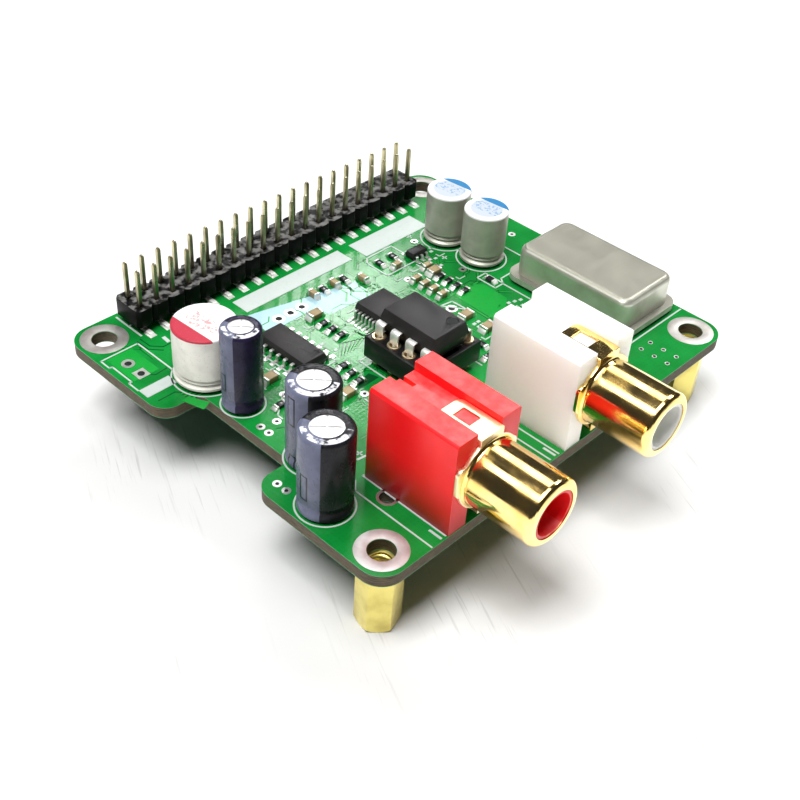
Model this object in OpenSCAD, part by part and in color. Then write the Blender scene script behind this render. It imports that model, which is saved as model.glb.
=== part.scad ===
// Audio converter board that stacks on a single-board computer.
// Frame: X runs along the pin header, Y points towards it, Z is up.
// The origin is the centre of the four mounting holes, on the underside of the laminate.

/* [Board] */
// Length of the board along the pin header
board_l = 65; // [62:0.5:70]
// Width of the board across the pin header
board_w = 56; // [55:0.5:60]
// Thickness of the laminate
board_t = 1.6; // [0.8:0.1:2.4]
// Radius of the outer corners
corner_r = 3; // [1:0.5:4]
// Distance between mounting holes along the header
hole_span_x = 58; // [57:0.5:60]
// Distance between mounting holes across the header
hole_span_y = 49; // [48:0.5:50]
// Diameter of the mounting holes
hole_d = 3.2; // [2.5:0.1:3.4]
// Depth of the ribbon cable notch in the left edge
notch_depth = 5.6; // [4:0.2:5.8]
// Width of the ribbon cable notch
notch_w = 16; // [12:0.5:17]
// Centre of the notch along Y
notch_y = 0.2; // [-1:0.1:1]
// Radius where the notch opens into the left edge
notch_outer_r = 2.6; // [1:0.2:3]
// Radius at the two inner corners of the notch
notch_inner_r = 1.4; // [0.5:0.1:2]

/* [Pin header] */
// Distance between neighbouring pins
pin_pitch = 2.54; // [2.5:0.01:2.6]
// Number of pins in each of the two rows
pins_per_row = 20; // [10:1:20]
// Width of a square pin
pin_w = 0.64; // [0.5:0.02:0.7]
// Height of the pin tips over the board
pin_tip_h = 8.7; // [7:0.1:11]
// Height of the plastic strip
strip_h = 2.54; // [2:0.1:3]
// Height of the strip's underside over the board
strip_lift = 1; // [0.7:0.1:1.4]
// Depth of the vee cuts between the cells of the strip
strip_cut = 0.5; // [0.3:0.05:0.7]
// Reach of a soldered foot outwards from the middle of its pin
foot_reach = 2.2; // [1.8:0.1:2.2]
// Thickness of a soldered foot
foot_t = 0.4; // [0.3:0.05:0.6]

/* [Underside socket] */
// Height of the socket under the board
socket_h = 8.5; // [7:0.1:8.9]
// Width of the socket across its rows
socket_w = 5; // [4.6:0.1:5.6]
// Width of a square contact opening
contact_hole_w = 0.94; // [0.8:0.02:1.1]
// Thickness of a contact spring and of its foot
contact_t = 0.3; // [0.2:0.05:0.35]

/* [Standoffs] */
// Length of a standoff
standoff_l = 9; // [9:0.5:16]
// Width of a standoff across its flats
standoff_af = 4.6; // [4:0.1:6]
// Diameter of the threaded bore
standoff_bore_d = 2.5; // [2:0.1:2.9]
// Bevel at the free end
standoff_bevel = 0.35; // [0.1:0.05:0.6]
// Turn of the hexagon about its axis
standoff_turn = -103; // [-120:1:-60]

/* [Output jacks] */
// Place of the right channel jack along X
red_jack_x = -17.45; // [-18:0.05:-16]
// Place of the left channel jack along X
white_jack_x = 2.65; // [2:0.05:4]
// Width of the moulded housing
jack_w = 10; // [9.4:0.1:10.4]
// Depth of the housing from front to rear
jack_d = 12.6; // [12:0.1:13.4]
// Height of the housing over the board
jack_h = 12.75; // [12.3:0.05:14]
// Height of the barrel's axis over the board
jack_axis_h = 6.8; // [6.5:0.1:7.2]
// Distance of the front face behind the board's edge
jack_inset = 0.05; // [0:0.05:0.6]
// Width of the channel along the top
channel_w = 3.9; // [3.8:0.05:4.6]
// Depth of the channel along the top
channel_depth = 1.2; // [0.8:0.05:1.4]
// Bevel along the outer top edges of the two ridges
ridge_bevel = 0.3; // [0.1:0.05:0.6]
// Width of the slit for the centre contact's tail
slit_w = 0.6; // [0.5:0.05:1]
// Length of the slit that shows in the channel
slit_l = 1.9; // [1.8:0.1:2.6]
// Width of the recess in the lower front
recess_w = 4.5; // [3.4:0.1:5]
// Height of the recess in the lower front
recess_h = 3; // [2:0.1:3.1]
// Depth of the recess in the lower front
recess_d = 3; // [2.8:0.1:4]
// Outer radius of the metal barrel
barrel_r = 4.1; // [4:0.05:4.2]
// Reach of the barrel in front of the board's edge
barrel_reach = 9.3; // [8:0.1:11]
// Wall of the barrel
barrel_wall = 0.5; // [0.3:0.05:0.6]
// Radius of the opening in the barrel's rolled lip
lip_r = 3; // [2.9:0.05:3.2]
// Outer radius of the rolled lip's bend
lip_bend = 0.7; // [0.3:0.05:0.9]
// Radius of the wide part of the plastic bore
mouth_r = 2.6; // [2.4:0.05:2.75]
// Depth of the wide part of the plastic bore
mouth_depth = 5; // [4:0.1:5.5]
// Radius of the flange behind the barrel
flange_r = 4.6; // [4.4:0.05:4.7]
// Reach of the flange's left ear from the middle
ear_reach = 5; // [4.9:0.05:5.2]
// Reach of the flange's right ear from the middle
right_ear_reach = 4.3; // [4.1:0.05:4.6]
// Height of the ears' top edge over the axis
ear_top = 2.7; // [2:0.1:3]
// Depth of the ears' lower edge under the axis
ear_bottom = 1.2; // [0.8:0.1:1.6]
// Radius of the ears' corners
ear_corner_r = 0.8; // [0.3:0.05:1]
// Thickness of the flange, the strap and the ground leg
sheet_t = 0.45; // [0.3:0.05:0.5]
// Width of the strap on top
strap_w = 3.6; // [3:0.05:3.7]
// Length of the strap on top
strap_l = 5.8; // [5.2:0.1:7]
// Width of the strap's window
window_w = 1.85; // [1.4:0.05:2.1]
// Length of the strap's window
window_l = 2.4; // [1.8:0.1:2.6]
// Distance of the window's middle behind the front face
window_y = 3.25; // [2.9:0.05:3.6]
// Gap between the strap's window and the catch in it
catch_gap = 0.1; // [0.05:0.05:0.2]
// Radius of the plug's centre pin seat
plug_pin_r = 1.6; // [1.5:0.05:1.7]
// Wall of the centre contact
centre_wall = 0.35; // [0.2:0.05:0.35]
// Distance of the side holes of the jack's footprint from its middle
side_hole_x = 5.5; // [5.3:0.1:5.8]
// Diameter of the side holes
side_hole_d = 1.9; // [1.4:0.1:2.2]
// Distance of the side holes behind the board's edge
side_hole_y = 8.6; // [8:0.1:9]

/* [Capacitors] */
// Diameter of the two large sleeved capacitors
sleeved_d = 6.3; // [5:0.1:6.6]
// Diameter of the slim sleeved capacitor
slim_d = 5; // [4:0.1:5.3]
// Height of the sleeved capacitors over the board
sleeved_h = 11.4; // [9:0.1:13]
// Diameter of the white capacitor
white_cap_d = 8; // [6.3:0.1:8.3]
// Height of the white capacitor over the board
white_cap_h = 7.9; // [6.5:0.1:10]
// Diameter of the two silver capacitors
silver_d = 6.2; // [5:0.1:6.6]
// Height of the silver capacitors over the board
silver_h = 8; // [6.5:0.1:10]
// Gap between the two silver capacitors
silver_gap = 0.7; // [0.5:0.1:2]
// Thickness of the printed sleeve
sleeve_t = 0.12; // [0.08:0.01:0.2]
// Width of the sleeve's lip as a share of the can's radius
lip_share = 0.37; // [0.2:0.01:0.5]
// Diameter of a lead wire
lead_d = 0.5; // [0.4:0.05:0.6]
// Distance between a capacitor's leads
lead_pitch = 2.5; // [2:0.1:3]
// Length of the leads under the board
lead_tail = 1.2; // [0.8:0.1:2]

/* [Oscillator] */
// Length of the oscillator's base
osc_l = 20.3; // [19:0.1:20.6]
// Width of the oscillator's base
osc_w = 12.6; // [12:0.1:12.8]
// Height of the oscillator over the board
osc_h = 5.5; // [4.5:0.1:7]
// Width of the welded rim around the can
osc_rim = 0.95; // [0.6:0.05:1.2]
// Height of the glass beads under the base
osc_lift = 0.5; // [0.3:0.05:0.8]
// Thickness of the base plate, and of the rim on it
osc_plate_t = 0.4; // [0.3:0.05:0.5]
// Radius of the can's upper edge
osc_edge_r = 0.8; // [0.4:0.1:1.2]

/* [Amplifier and its socket] */
// Distance between the two rows of the amplifier's legs
row_span = 7.62; // [7.5:0.02:7.8]
// Distance between neighbouring legs
leg_pitch = 2.54; // [2.5:0.01:2.6]
// Height of the socket's underside over the board
frame_lift = 1; // [0.7:0.1:1.3]
// Height of the socket's plastic frame
frame_h = 2.95; // [2.5:0.05:3.2]
// Diameter of a contact's cup
cup_d = 1.75; // [1.5:0.05:1.9]
// Length of the amplifier's body
amp_l = 9.3; // [9:0.1:9.8]
// Width of the amplifier's body
amp_w = 6.3; // [6:0.05:6.4]
// Height of the amplifier's body
amp_h = 3.3; // [3:0.05:3.5]

/* [Surface chips] */
// Length of the converter chip
dac_l = 7.2; // [6.5:0.1:7.5]
// Width of the converter chip
dac_w = 5.3; // [5:0.05:5.6]
// Height of the converter chip's top over the board
dac_h = 1.85; // [1.4:0.05:2.1]
// Length of the logic chip
logic_l = 8.65; // [8.4:0.05:8.9]
// Width of the logic chip
logic_w = 3.9; // [3.7:0.05:4.1]
// Height of the logic chip's top over the board
logic_h = 1.65; // [1.4:0.05:1.9]
// Length of the regulator
regulator_l = 2.9; // [2.7:0.05:3.1]
// Width of the regulator
regulator_w = 1.6; // [1.5:0.05:1.7]
// Height of the regulator's top over the board
regulator_h = 1.15; // [1:0.05:1.3]
// Length of a small chip resistor or capacitor
small_l = 1.6; // [1.4:0.05:1.8]
// Width of a small chip resistor or capacitor
small_w = 0.8; // [0.7:0.05:1]
// Length of a large chip capacitor
large_l = 2; // [1.8:0.05:2.3]
// Width of a large chip capacitor
large_w = 1.25; // [1.1:0.05:1.4]
// Height of the chip resistors
resistor_h = 0.5; // [0.4:0.05:0.6]
// Height of the chip capacitors
capacitor_h = 0.85; // [0.7:0.05:1.1]

/* [Hidden] */

eps = 0.01;
fit = 0.03;
round_fn = 64;
wire_fn = 24;
front_y = -board_w / 2;
header_y = hole_span_y / 2;
strip_l = pins_per_row * pin_pitch;

// Centres of the capacitors, in the order front, middle, slim, white, rear and front silver
front_cap_at = [-28.75, -15.6];
middle_cap_at = [-24.55, -9.1];
slim_cap_at = [-24.25, 3.4];
white_cap_at = [-23.95, 10.5];
rear_silver_at = [21.15, 12.4];
front_silver_at = [rear_silver_at[0], rear_silver_at[1] - silver_d - silver_gap];
osc_at = [25.75, -10.2];
osc_row_span = 7.62;
osc_pin_span = 15.24;
osc_pin_d = 0.46;
amp_at = [-2.85, -5.45];
dac_at = [1, 4.05];
logic_at = [-13.45, 6.75];
regulator_at = [14.5, 11.85];

// Plated holes that carry no part: a row of three, a row of two and one by the amplifier
row_of_three = [for (i = [-1:1]) [-7.86 + 2 * i, 13.3]];
row_of_two = [for (i = [0:1]) [-29.8, 15.93 + 2.54 * i]];
spare_hole_at = [8.8, -0.1];
spare_hole_d = 0.9;

// Chip resistors and capacitors as [x, y, turn]
small_resistors = concat(
    [for (i = [0:3]) [13, 5.9 - 1.5 * i, 0]],
    [for (i = [0:2]) [-6.5, 8.5 - 1.65 * i, 0]],
    [for (i = [0:1]) [-1.2 + 3.75 * i, 14.05, 90]],
    [for (i = [0:2]) [-10.7 - 0.3 * i, 0.4 - 1.7 * i, 0]],
    [for (i = [0:1]) [9 + 2.6 * i, 13.6, 90]],
    [[5.6, -8.2, 90], [4.3, -10.4, 0], [17.7, 0.85, 90], [-21.4, 0, 0]]
);
small_capacitors = concat(
    [for (i = [0:3]) [9.9, 7.5 - 1.63 * i, 0]],
    [for (i = [0:1]) [-3.05 + 3.8 * i, 14.05, 90]],
    [[4.55, 12.4, 90], [13.3, 8.7, 0], [10.3, 11.6, 0]]
);
large_capacitors = [
    [13.2, 7.2, 0], [-6.1, 10.5, 0], [-19, 4.5, 0], [-14, -3.8, 0], [8.7, -2.7, 0], [8.9, -6.3, 0]
];
terminal_l = 0.3;
terminal_grow = 0.04;

function ring(r, from, to, steps, cx = 0, cy = 0) =
    [for (i = [0:steps]) let (a = from + (to - from) * i / steps) [cx + r * cos(a), cy + r * sin(a)]];

module on_board(at) {
    translate([at[0], at[1], board_t]) children();
}

module drill(at, d, fn = wire_fn) {
    translate([at[0], at[1], -1]) cylinder(d = d, h = board_t + 2, $fn = fn);
}

// Board

hole_points = [for (sx = [-1, 1], sy = [-1, 1]) [sx * hole_span_x / 2, sy * hole_span_y / 2]];

module board_outline() {
    inner_l = board_l - 2 * corner_r;
    inner_w = board_w - 2 * corner_r;
    square([board_l, inner_w], center = true);
    square([inner_l, board_w], center = true);
    for (sx = [-1, 1], sy = [-1, 1])
        translate([sx * inner_l / 2, sy * inner_w / 2]) circle(r = corner_r, $fn = round_fn);
}

// The notch with its two rounded inner corners and the two flares at its mouth
module notch_outline() {
    left = -board_l / 2;
    floor_x = left + notch_depth;
    translate([left - 1, notch_y - notch_w / 2]) square([notch_depth + 1 - notch_inner_r, notch_w]);
    translate([left, notch_y - notch_w / 2 + notch_inner_r])
        square([notch_depth, notch_w - 2 * notch_inner_r]);
    for (s = [-1, 1]) {
        translate([floor_x - notch_inner_r, notch_y + s * (notch_w / 2 - notch_inner_r)])
            circle(r = notch_inner_r, $fn = round_fn);
        difference() {
            translate([left - 1, notch_y + s * notch_w / 2 - (s < 0 ? notch_outer_r : 0)])
                square([notch_outer_r + 1, notch_outer_r]);
            translate([left + notch_outer_r, notch_y + s * (notch_w / 2 + notch_outer_r)])
                circle(r = notch_outer_r, $fn = round_fn);
        }
    }
}

module circuit_board() {
    color("forestgreen")
    difference() {
        linear_extrude(board_t) difference() {
            board_outline();
            notch_outline();
        }
        for (p = hole_points) drill(p, hole_d, round_fn);
        for (p = concat(row_of_three, row_of_two, [spare_hole_at])) drill(p, spare_hole_d);
        for (p = [[front_cap_at, 90], [middle_cap_at, 90], [slim_cap_at, 90], [white_cap_at, 0],
                  [rear_silver_at, 0], [front_silver_at, 0]])
            for (q = lead_points(p[0], p[1])) drill(q, lead_d + lead_gap);
        for (q = osc_points) drill(q, osc_pin_d + lead_gap);
        for (q = amp_points) drill(q, tail_d + lead_gap);
        for (x = [red_jack_x, white_jack_x]) {
            drill([x, front_y + leg_y], leg_hole_d);
            drill([x, front_y + tail_y], leg_hole_d);
            for (s = [-1, 1]) drill([x + s * side_hole_x, front_y + side_hole_y], side_hole_d);
        }
    }
}

// Pin header and the socket below it

cell_x = [for (i = [0:pins_per_row - 1]) (i - (pins_per_row - 1) / 2) * pin_pitch];

// One long side of the strip: straight cell faces with a vee cut between neighbours
function strip_side(w, s) = [for (x = cell_x, k = [-1, 1], j = [0, 1])
    [x + k * (pin_pitch / 2 - (j == (k < 0 ? 1 : 0) ? strip_cut : 0)),
     s * (w / 2 - (j == (k < 0 ? 0 : 1) ? strip_cut : 0))]];

function reversed(list) = [for (i = [len(list) - 1:-1:0]) list[i]];

module header_strip() {
    color([0.07, 0.07, 0.08])
    translate([0, header_y, board_t + strip_lift])
    linear_extrude(strip_h) difference() {
        polygon(concat(strip_side(2 * pin_pitch, -1), reversed(strip_side(2 * pin_pitch, 1))));
        for (x = cell_x, s = [-1, 1])
            translate([x, s * pin_pitch / 2]) square(pin_w + 2 * fit, center = true);
    }
}

// A header pin seen along X: a straight post with a pointed tip
module pin_profile() {
    tip = 0.8;
    half = pin_w / 2;
    polygon([
        [-half, foot_t], [-half, pin_tip_h - tip], [-half / 2, pin_tip_h],
        [half / 2, pin_tip_h], [half, pin_tip_h - tip], [half, foot_t]
    ]);
}

// The flattened lower end of a pin, which bends outwards along the board
module foot_profile() {
    half = pin_w / 2;
    polygon([
        [-half, foot_t / 2], [-half, foot_t], [foot_reach - 0.15, foot_t], [foot_reach, foot_t - 0.15],
        [foot_reach, 0], [-half + foot_t / 2, 0]
    ]);
}

module each_pin() {
    for (x = cell_x, s = [-1, 1])
        translate([x, header_y + s * pin_pitch / 2, board_t])
            rotate([90, 0, s * 90]) translate([0, 0, -pin_w / 2]) linear_extrude(pin_w) children();
}

module header_pins() {
    color([0.78, 0.76, 0.62]) each_pin() pin_profile();
}

module header_feet() {
    color([0.82, 0.82, 0.8]) each_pin() foot_profile();
}

module socket_strip() {
    color([0.08, 0.08, 0.09])
    translate([0, header_y, -socket_h])
    linear_extrude(socket_h - contact_t) difference() {
        square([strip_l, socket_w], center = true);
        for (x = cell_x, s = [-1, 1])
            translate([x, s * pin_pitch / 2]) square(contact_hole_w, center = true);
    }
}

// A socket contact seen along X: a spring on the outer wall of its opening, and a foot
module contact_profile() {
    outer = contact_hole_w / 2 - fit;
    polygon([
        [outer - contact_t, 0], [outer - contact_t, -0.8 * socket_h], [outer, -0.8 * socket_h],
        [outer, -contact_t], [foot_reach, -contact_t], [foot_reach, 0]
    ]);
}

module socket_contacts() {
    color([0.85, 0.8, 0.6])
    for (x = cell_x, s = [-1, 1])
        translate([x, header_y + s * pin_pitch / 2, 0])
            rotate([90, 0, s * 90]) translate([0, 0, -pin_w / 2])
                linear_extrude(pin_w) contact_profile();
}

// Standoffs

module standoff(sx) {
    circum_r = standoff_af / 2 / cos(30);
    color([0.85, 0.75, 0.42])
    translate([sx * hole_span_x / 2, -hole_span_y / 2, -standoff_l])
    difference() {
        intersection() {
            rotate([0, 0, standoff_turn]) cylinder(r = circum_r, h = standoff_l, $fn = 6);
            rotate_extrude($fn = round_fn) polygon([
                [0, 0], [circum_r - standoff_bevel, 0], [circum_r + 1, standoff_bevel + 1],
                [circum_r + 1, standoff_l], [0, standoff_l]
            ]);
        }
        translate([0, 0, -1]) cylinder(d = standoff_bore_d, h = standoff_l + 2, $fn = round_fn);
    }
}

module standoff_left() {
    standoff(-1);
}

module standoff_right() {
    standoff(1);
}

// Output jacks, drawn about the middle of the board's front edge with the barrel along -Y

nose_r = barrel_r - barrel_wall;
floor_h = jack_h - channel_depth;
root_flare = 0.35;
leg_y = jack_inset + 2.2;
leg_w = 1;
leg_hole_d = 1.5;
tail_l = 1.6;
tail_y = jack_inset + jack_d - tail_l / 2 - 0.3;
tail_drop = board_t + 1;
tip_y = -barrel_reach;
contact_from = tip_y + mouth_depth + 0.4;
contact_to = jack_inset + 2.4;
contact_r = plug_pin_r + centre_wall;
catch_h = 0.3;

module along_y(from, to) {
    translate([0, to, 0]) rotate([90, 0, 0]) linear_extrude(to - from) children();
}

module round_y(from, to, r) {
    translate([0, to, jack_axis_h]) rotate([90, 0, 0]) cylinder(r = r, h = to - from, $fn = round_fn);
}

module jack_section() {
    half = jack_w / 2;
    ridge = channel_w / 2;
    polygon([
        [-half, 0], [half, 0], [half, jack_h - ridge_bevel], [half - ridge_bevel, jack_h],
        [ridge, jack_h], [ridge, floor_h], [-ridge, floor_h], [-ridge, jack_h],
        [ridge_bevel - half, jack_h], [-half, jack_h - ridge_bevel]
    ]);
}

module jack_housing() {
    rear = jack_inset + jack_d;
    difference() {
        union() {
            along_y(jack_inset, rear) jack_section();
            round_y(tip_y + lip_bend, rear - 1, nose_r - fit);
            round_y(tip_y + 0.1, tip_y + lip_bend + eps, lip_r - fit);
            translate([0, jack_inset + window_y, floor_h])
                linear_extrude(catch_h)
                    square([window_w - 2 * catch_gap, window_l - 2 * catch_gap], center = true);
        }
        round_y(tip_y - 1, tip_y + mouth_depth, mouth_r);
        round_y(tip_y + mouth_depth - eps, contact_to + fit, contact_r + fit);
        along_y(contact_to, rear + 1) translate([-slit_w / 2, -1]) square([slit_w, jack_axis_h + 2]);
        along_y(rear - slit_l, rear + 1) translate([-slit_w / 2, -1]) square([slit_w, jack_h + 2]);
        along_y(jack_inset - 1, jack_inset + recess_d)
            translate([-recess_w / 2, -1]) square([recess_w, recess_h + 1]);
    }
}

module flange_outline() {
    circle(r = flange_r, $fn = round_fn);
    left = ear_corner_r - ear_reach;
    right = right_ear_reach - ear_corner_r;
    translate([-ear_reach, ear_corner_r - ear_bottom])
        square([ear_reach + right_ear_reach, ear_top + ear_bottom - 2 * ear_corner_r]);
    translate([left, -ear_bottom]) square([right - left, ear_top + ear_bottom]);
    for (x = [left, right], y = [ear_corner_r - ear_bottom, ear_top - ear_corner_r])
        translate([x, y]) circle(r = ear_corner_r, $fn = wire_fn);
    translate([-strap_w / 2, 0]) square([strap_w, floor_h + sheet_t - jack_axis_h]);
    translate([-0.9, foot_level - jack_axis_h]) square([1.8, jack_axis_h - foot_level]);
}

// Level of the strip that carries the ground leg back over the board
foot_level = 1;

// The barrel's wall with its rolled lip, as a profile of radius and distance from the tip
module barrel_profile() {
    len = barrel_reach + jack_inset - sheet_t;
    polygon(concat(
        [[nose_r, len], [nose_r, lip_bend], [lip_r, lip_bend], [lip_r, 0]],
        ring(lip_bend, -90, 0, 8, barrel_r - lip_bend, lip_bend),
        ring(root_flare, 180, 90, 5, barrel_r + root_flare, len - root_flare)
    ));
}

module strap_outline() {
    r = 0.8;
    difference() {
        union() {
            translate([-strap_w / 2, -sheet_t]) square([strap_w, strap_l + sheet_t - r]);
            translate([-strap_w / 2 + r, 0]) square([strap_w - 2 * r, strap_l]);
            for (s = [-1, 1]) translate([s * (strap_w / 2 - r), strap_l - r]) circle(r = r, $fn = wire_fn);
        }
        translate([0, window_y]) square([window_w, window_l], center = true);
    }
}

module jack_barrel() {
    translate([0, tip_y, jack_axis_h]) rotate([-90, 0, 0]) rotate_extrude($fn = round_fn) barrel_profile();
}

// The stamped plate behind the barrel, with its strap over the housing and its leg into the board
module jack_ground() {
    difference() {
        along_y(jack_inset - sheet_t, jack_inset) translate([0, jack_axis_h]) flange_outline();
        round_y(jack_inset - 1, jack_inset + 1, nose_r);
    }
    translate([0, jack_inset, floor_h]) linear_extrude(sheet_t) strap_outline();
    translate([-0.9, jack_inset - sheet_t, foot_level]) cube([1.8, leg_y - jack_inset + 1.5 * sheet_t, sheet_t]);
    translate([-leg_w / 2, leg_y - sheet_t / 2, -tail_drop])
        cube([leg_w, sheet_t, tail_drop + foot_level + sheet_t / 2]);
}

module jack_contact() {
    plate_t = slit_w - 0.2;
    plate_h = 2;
    difference() {
        round_y(contact_from, contact_to, contact_r);
        round_y(contact_from - 1, contact_to - 0.6, plug_pin_r);
        translate([-0.2, contact_from - 1, jack_axis_h - 5]) cube([0.4, 3.6, 10]);
    }
    translate([-plate_t / 2, contact_to - 0.3, jack_axis_h - plate_h / 2])
        cube([plate_t, tail_y - contact_to + 0.4, plate_h]);
    translate([-plate_t / 2, tail_y - tail_l / 2, 0]) cube([plate_t, tail_l, floor_h - 0.6]);
    translate([-plate_t / 2, tail_y - leg_w / 2, -tail_drop]) cube([plate_t, leg_w, tail_drop + eps]);
}

module red_jack_housing() {
    color([0.85, 0.08, 0.08]) on_board([red_jack_x, front_y]) jack_housing();
}

module red_jack_barrel() {
    color([0.9, 0.75, 0.35]) on_board([red_jack_x, front_y]) jack_barrel();
}

module red_jack_ground() {
    color([0.9, 0.75, 0.35]) on_board([red_jack_x, front_y]) jack_ground();
}

module red_jack_contact() {
    color([0.8, 0.7, 0.4]) on_board([red_jack_x, front_y]) jack_contact();
}

module white_jack_housing() {
    color([0.95, 0.94, 0.9]) on_board([white_jack_x, front_y]) jack_housing();
}

module white_jack_barrel() {
    color([0.9, 0.75, 0.35]) on_board([white_jack_x, front_y]) jack_barrel();
}

module white_jack_ground() {
    color([0.9, 0.75, 0.35]) on_board([white_jack_x, front_y]) jack_ground();
}

module white_jack_contact() {
    color([0.8, 0.7, 0.4]) on_board([white_jack_x, front_y]) jack_contact();
}

// Capacitors, drawn about their axis on the board's top face

lead_gap = 0.3;
seal_inset = 0.5;
seal_h = 1.5;
can_lift = 0.35;
neck_h = 1.7;
neck_depth = 0.4;
top_bend = 0.5;

function lead_points(at, turn) = [for (s = [-1, 1])
    [at[0] + s * lead_pitch / 2 * cos(turn), at[1] + s * lead_pitch / 2 * sin(turn)]];

// Outer profile of a can of radius r from its crimped lower edge to the start of its top bend
function can_side(r, grow = 0) = [
    [r - 0.3 + grow, can_lift], [r + grow, can_lift + 0.3], [r + grow, neck_h - 0.5],
    [r - neck_depth + grow, neck_h - 0.1], [r - neck_depth + grow, neck_h + 0.1], [r + grow, neck_h + 0.5]
];

// A closed can with a recess below for its rubber seal and a scored cross on top
module can(r, h) {
    score_w = 0.22;
    score_d = 0.12;
    difference() {
        rotate_extrude($fn = round_fn) polygon(concat(
            [[0, seal_h + fit], [r - seal_inset + fit, seal_h + fit], [r - seal_inset + fit, can_lift]],
            can_side(r), ring(top_bend, 0, 90, 6, r - top_bend, h - top_bend), [[0, h]]
        ));
        for (a = [45, 135]) rotate([0, 0, a])
            translate([-r * 0.6, -score_w / 2, h - score_d]) cube([r * 1.2, score_w, 1]);
    }
}

// A shrunk sleeve that follows the can and laps over its top edge
module sleeve(r, h) {
    lip = r * (1 - lip_share);
    low = neck_h - 0.5;
    rotate_extrude($fn = round_fn) polygon(concat(
        [[r + fit, low - 0.8]], [for (p = can_side(r, fit)) if (p[1] > low - 0.01) p],
        ring(top_bend + fit, 0, 90, 6, r - top_bend, h - top_bend), [[lip, h + fit]],
        [[lip, h + sleeve_t]], ring(top_bend + sleeve_t, 90, 0, 6, r - top_bend, h - top_bend),
        reversed([for (p = can_side(r, sleeve_t)) if (p[1] > low - 0.01) p]), [[r + sleeve_t, low - 0.8]]
    ));
}

module seal(r) {
    cylinder(r = r - seal_inset, h = seal_h, $fn = round_fn);
}

module leads(turn) {
    for (q = lead_points([0, 0], turn))
        translate([q[0], q[1], -board_t - lead_tail])
            cylinder(d = lead_d, h = board_t + lead_tail, $fn = wire_fn);
}

sleeved_r = sleeved_d / 2 - sleeve_t;
slim_r = slim_d / 2 - sleeve_t;
sleeved_can_h = sleeved_h - sleeve_t;

module front_capacitor_can() {
    color([0.86, 0.87, 0.88]) on_board(front_cap_at) can(sleeved_r, sleeved_can_h);
}

module front_capacitor_sleeve() {
    color([0.1, 0.1, 0.13]) on_board(front_cap_at) sleeve(sleeved_r, sleeved_can_h);
}

module front_capacitor_seal() {
    color([0.1, 0.1, 0.1]) on_board(front_cap_at) seal(sleeved_r);
}

module front_capacitor_leads() {
    color([0.8, 0.8, 0.82]) on_board(front_cap_at) leads(90);
}

module middle_capacitor_can() {
    color([0.86, 0.87, 0.88]) on_board(middle_cap_at) can(sleeved_r, sleeved_can_h);
}

module middle_capacitor_sleeve() {
    color([0.1, 0.1, 0.13]) on_board(middle_cap_at) sleeve(sleeved_r, sleeved_can_h);
}

module middle_capacitor_seal() {
    color([0.1, 0.1, 0.1]) on_board(middle_cap_at) seal(sleeved_r);
}

module middle_capacitor_leads() {
    color([0.8, 0.8, 0.82]) on_board(middle_cap_at) leads(90);
}

module slim_capacitor_can() {
    color([0.86, 0.87, 0.88]) on_board(slim_cap_at) can(slim_r, sleeved_can_h);
}

module slim_capacitor_sleeve() {
    color([0.16, 0.13, 0.25]) on_board(slim_cap_at) sleeve(slim_r, sleeved_can_h);
}

module slim_capacitor_seal() {
    color([0.1, 0.1, 0.1]) on_board(slim_cap_at) seal(slim_r);
}

module slim_capacitor_leads() {
    color([0.8, 0.8, 0.82]) on_board(slim_cap_at) leads(90);
}

// A bare can of the polymer type: a double bead above a flared foot
module polymer_can(r, h) {
    rotate_extrude($fn = round_fn) polygon(concat(
        [[0, seal_h + fit], [r - seal_inset + fit, seal_h + fit], [r - seal_inset + fit, can_lift]],
        [[r - 0.1, can_lift], [r + 0.05, can_lift + 0.15], [r + 0.05, can_lift + 0.45],
         [r - 0.35, neck_h - 0.6], [r - 0.35, neck_h - 0.45], [r - 0.1, neck_h - 0.25],
         [r - 0.3, neck_h], [r, neck_h + 0.35]],
        ring(0.25, 0, 90, 4, r - 0.25, h - 0.25), [[0, h]]
    ));
}

module white_capacitor_can() {
    color([0.93, 0.91, 0.88]) on_board(white_cap_at) polymer_can(white_cap_d / 2, white_cap_h);
}

module white_capacitor_seal() {
    color([0.1, 0.1, 0.1]) on_board(white_cap_at) seal(white_cap_d / 2);
}

module white_capacitor_leads() {
    color([0.8, 0.8, 0.82]) on_board(white_cap_at) leads(0);
}

module rear_silver_capacitor_can() {
    color([0.75, 0.76, 0.74]) on_board(rear_silver_at) polymer_can(silver_d / 2, silver_h);
}

module rear_silver_capacitor_seal() {
    color([0.1, 0.1, 0.1]) on_board(rear_silver_at) seal(silver_d / 2);
}

module rear_silver_capacitor_leads() {
    color([0.8, 0.8, 0.82]) on_board(rear_silver_at) leads(0);
}

module front_silver_capacitor_can() {
    color([0.75, 0.76, 0.74]) on_board(front_silver_at) polymer_can(silver_d / 2, silver_h);
}

module front_silver_capacitor_seal() {
    color([0.1, 0.1, 0.1]) on_board(front_silver_at) seal(silver_d / 2);
}

module front_silver_capacitor_leads() {
    color([0.8, 0.8, 0.82]) on_board(front_silver_at) leads(0);
}

// Oscillator

osc_corner_r = 2;
osc_points = [for (sx = [-1, 1], sy = [-1, 1])
    [osc_at[0] + sx * osc_row_span / 2, osc_at[1] + sy * osc_pin_span / 2]];

module rounded_plate(w, l, r, t) {
    linear_extrude(t) {
        square([w, l - 2 * r], center = true);
        square([w - 2 * r, l], center = true);
        for (sx = [-1, 1], sy = [-1, 1])
            translate([sx * (w / 2 - r), sy * (l / 2 - r)]) circle(r = r, $fn = 32);
    }
}

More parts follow.
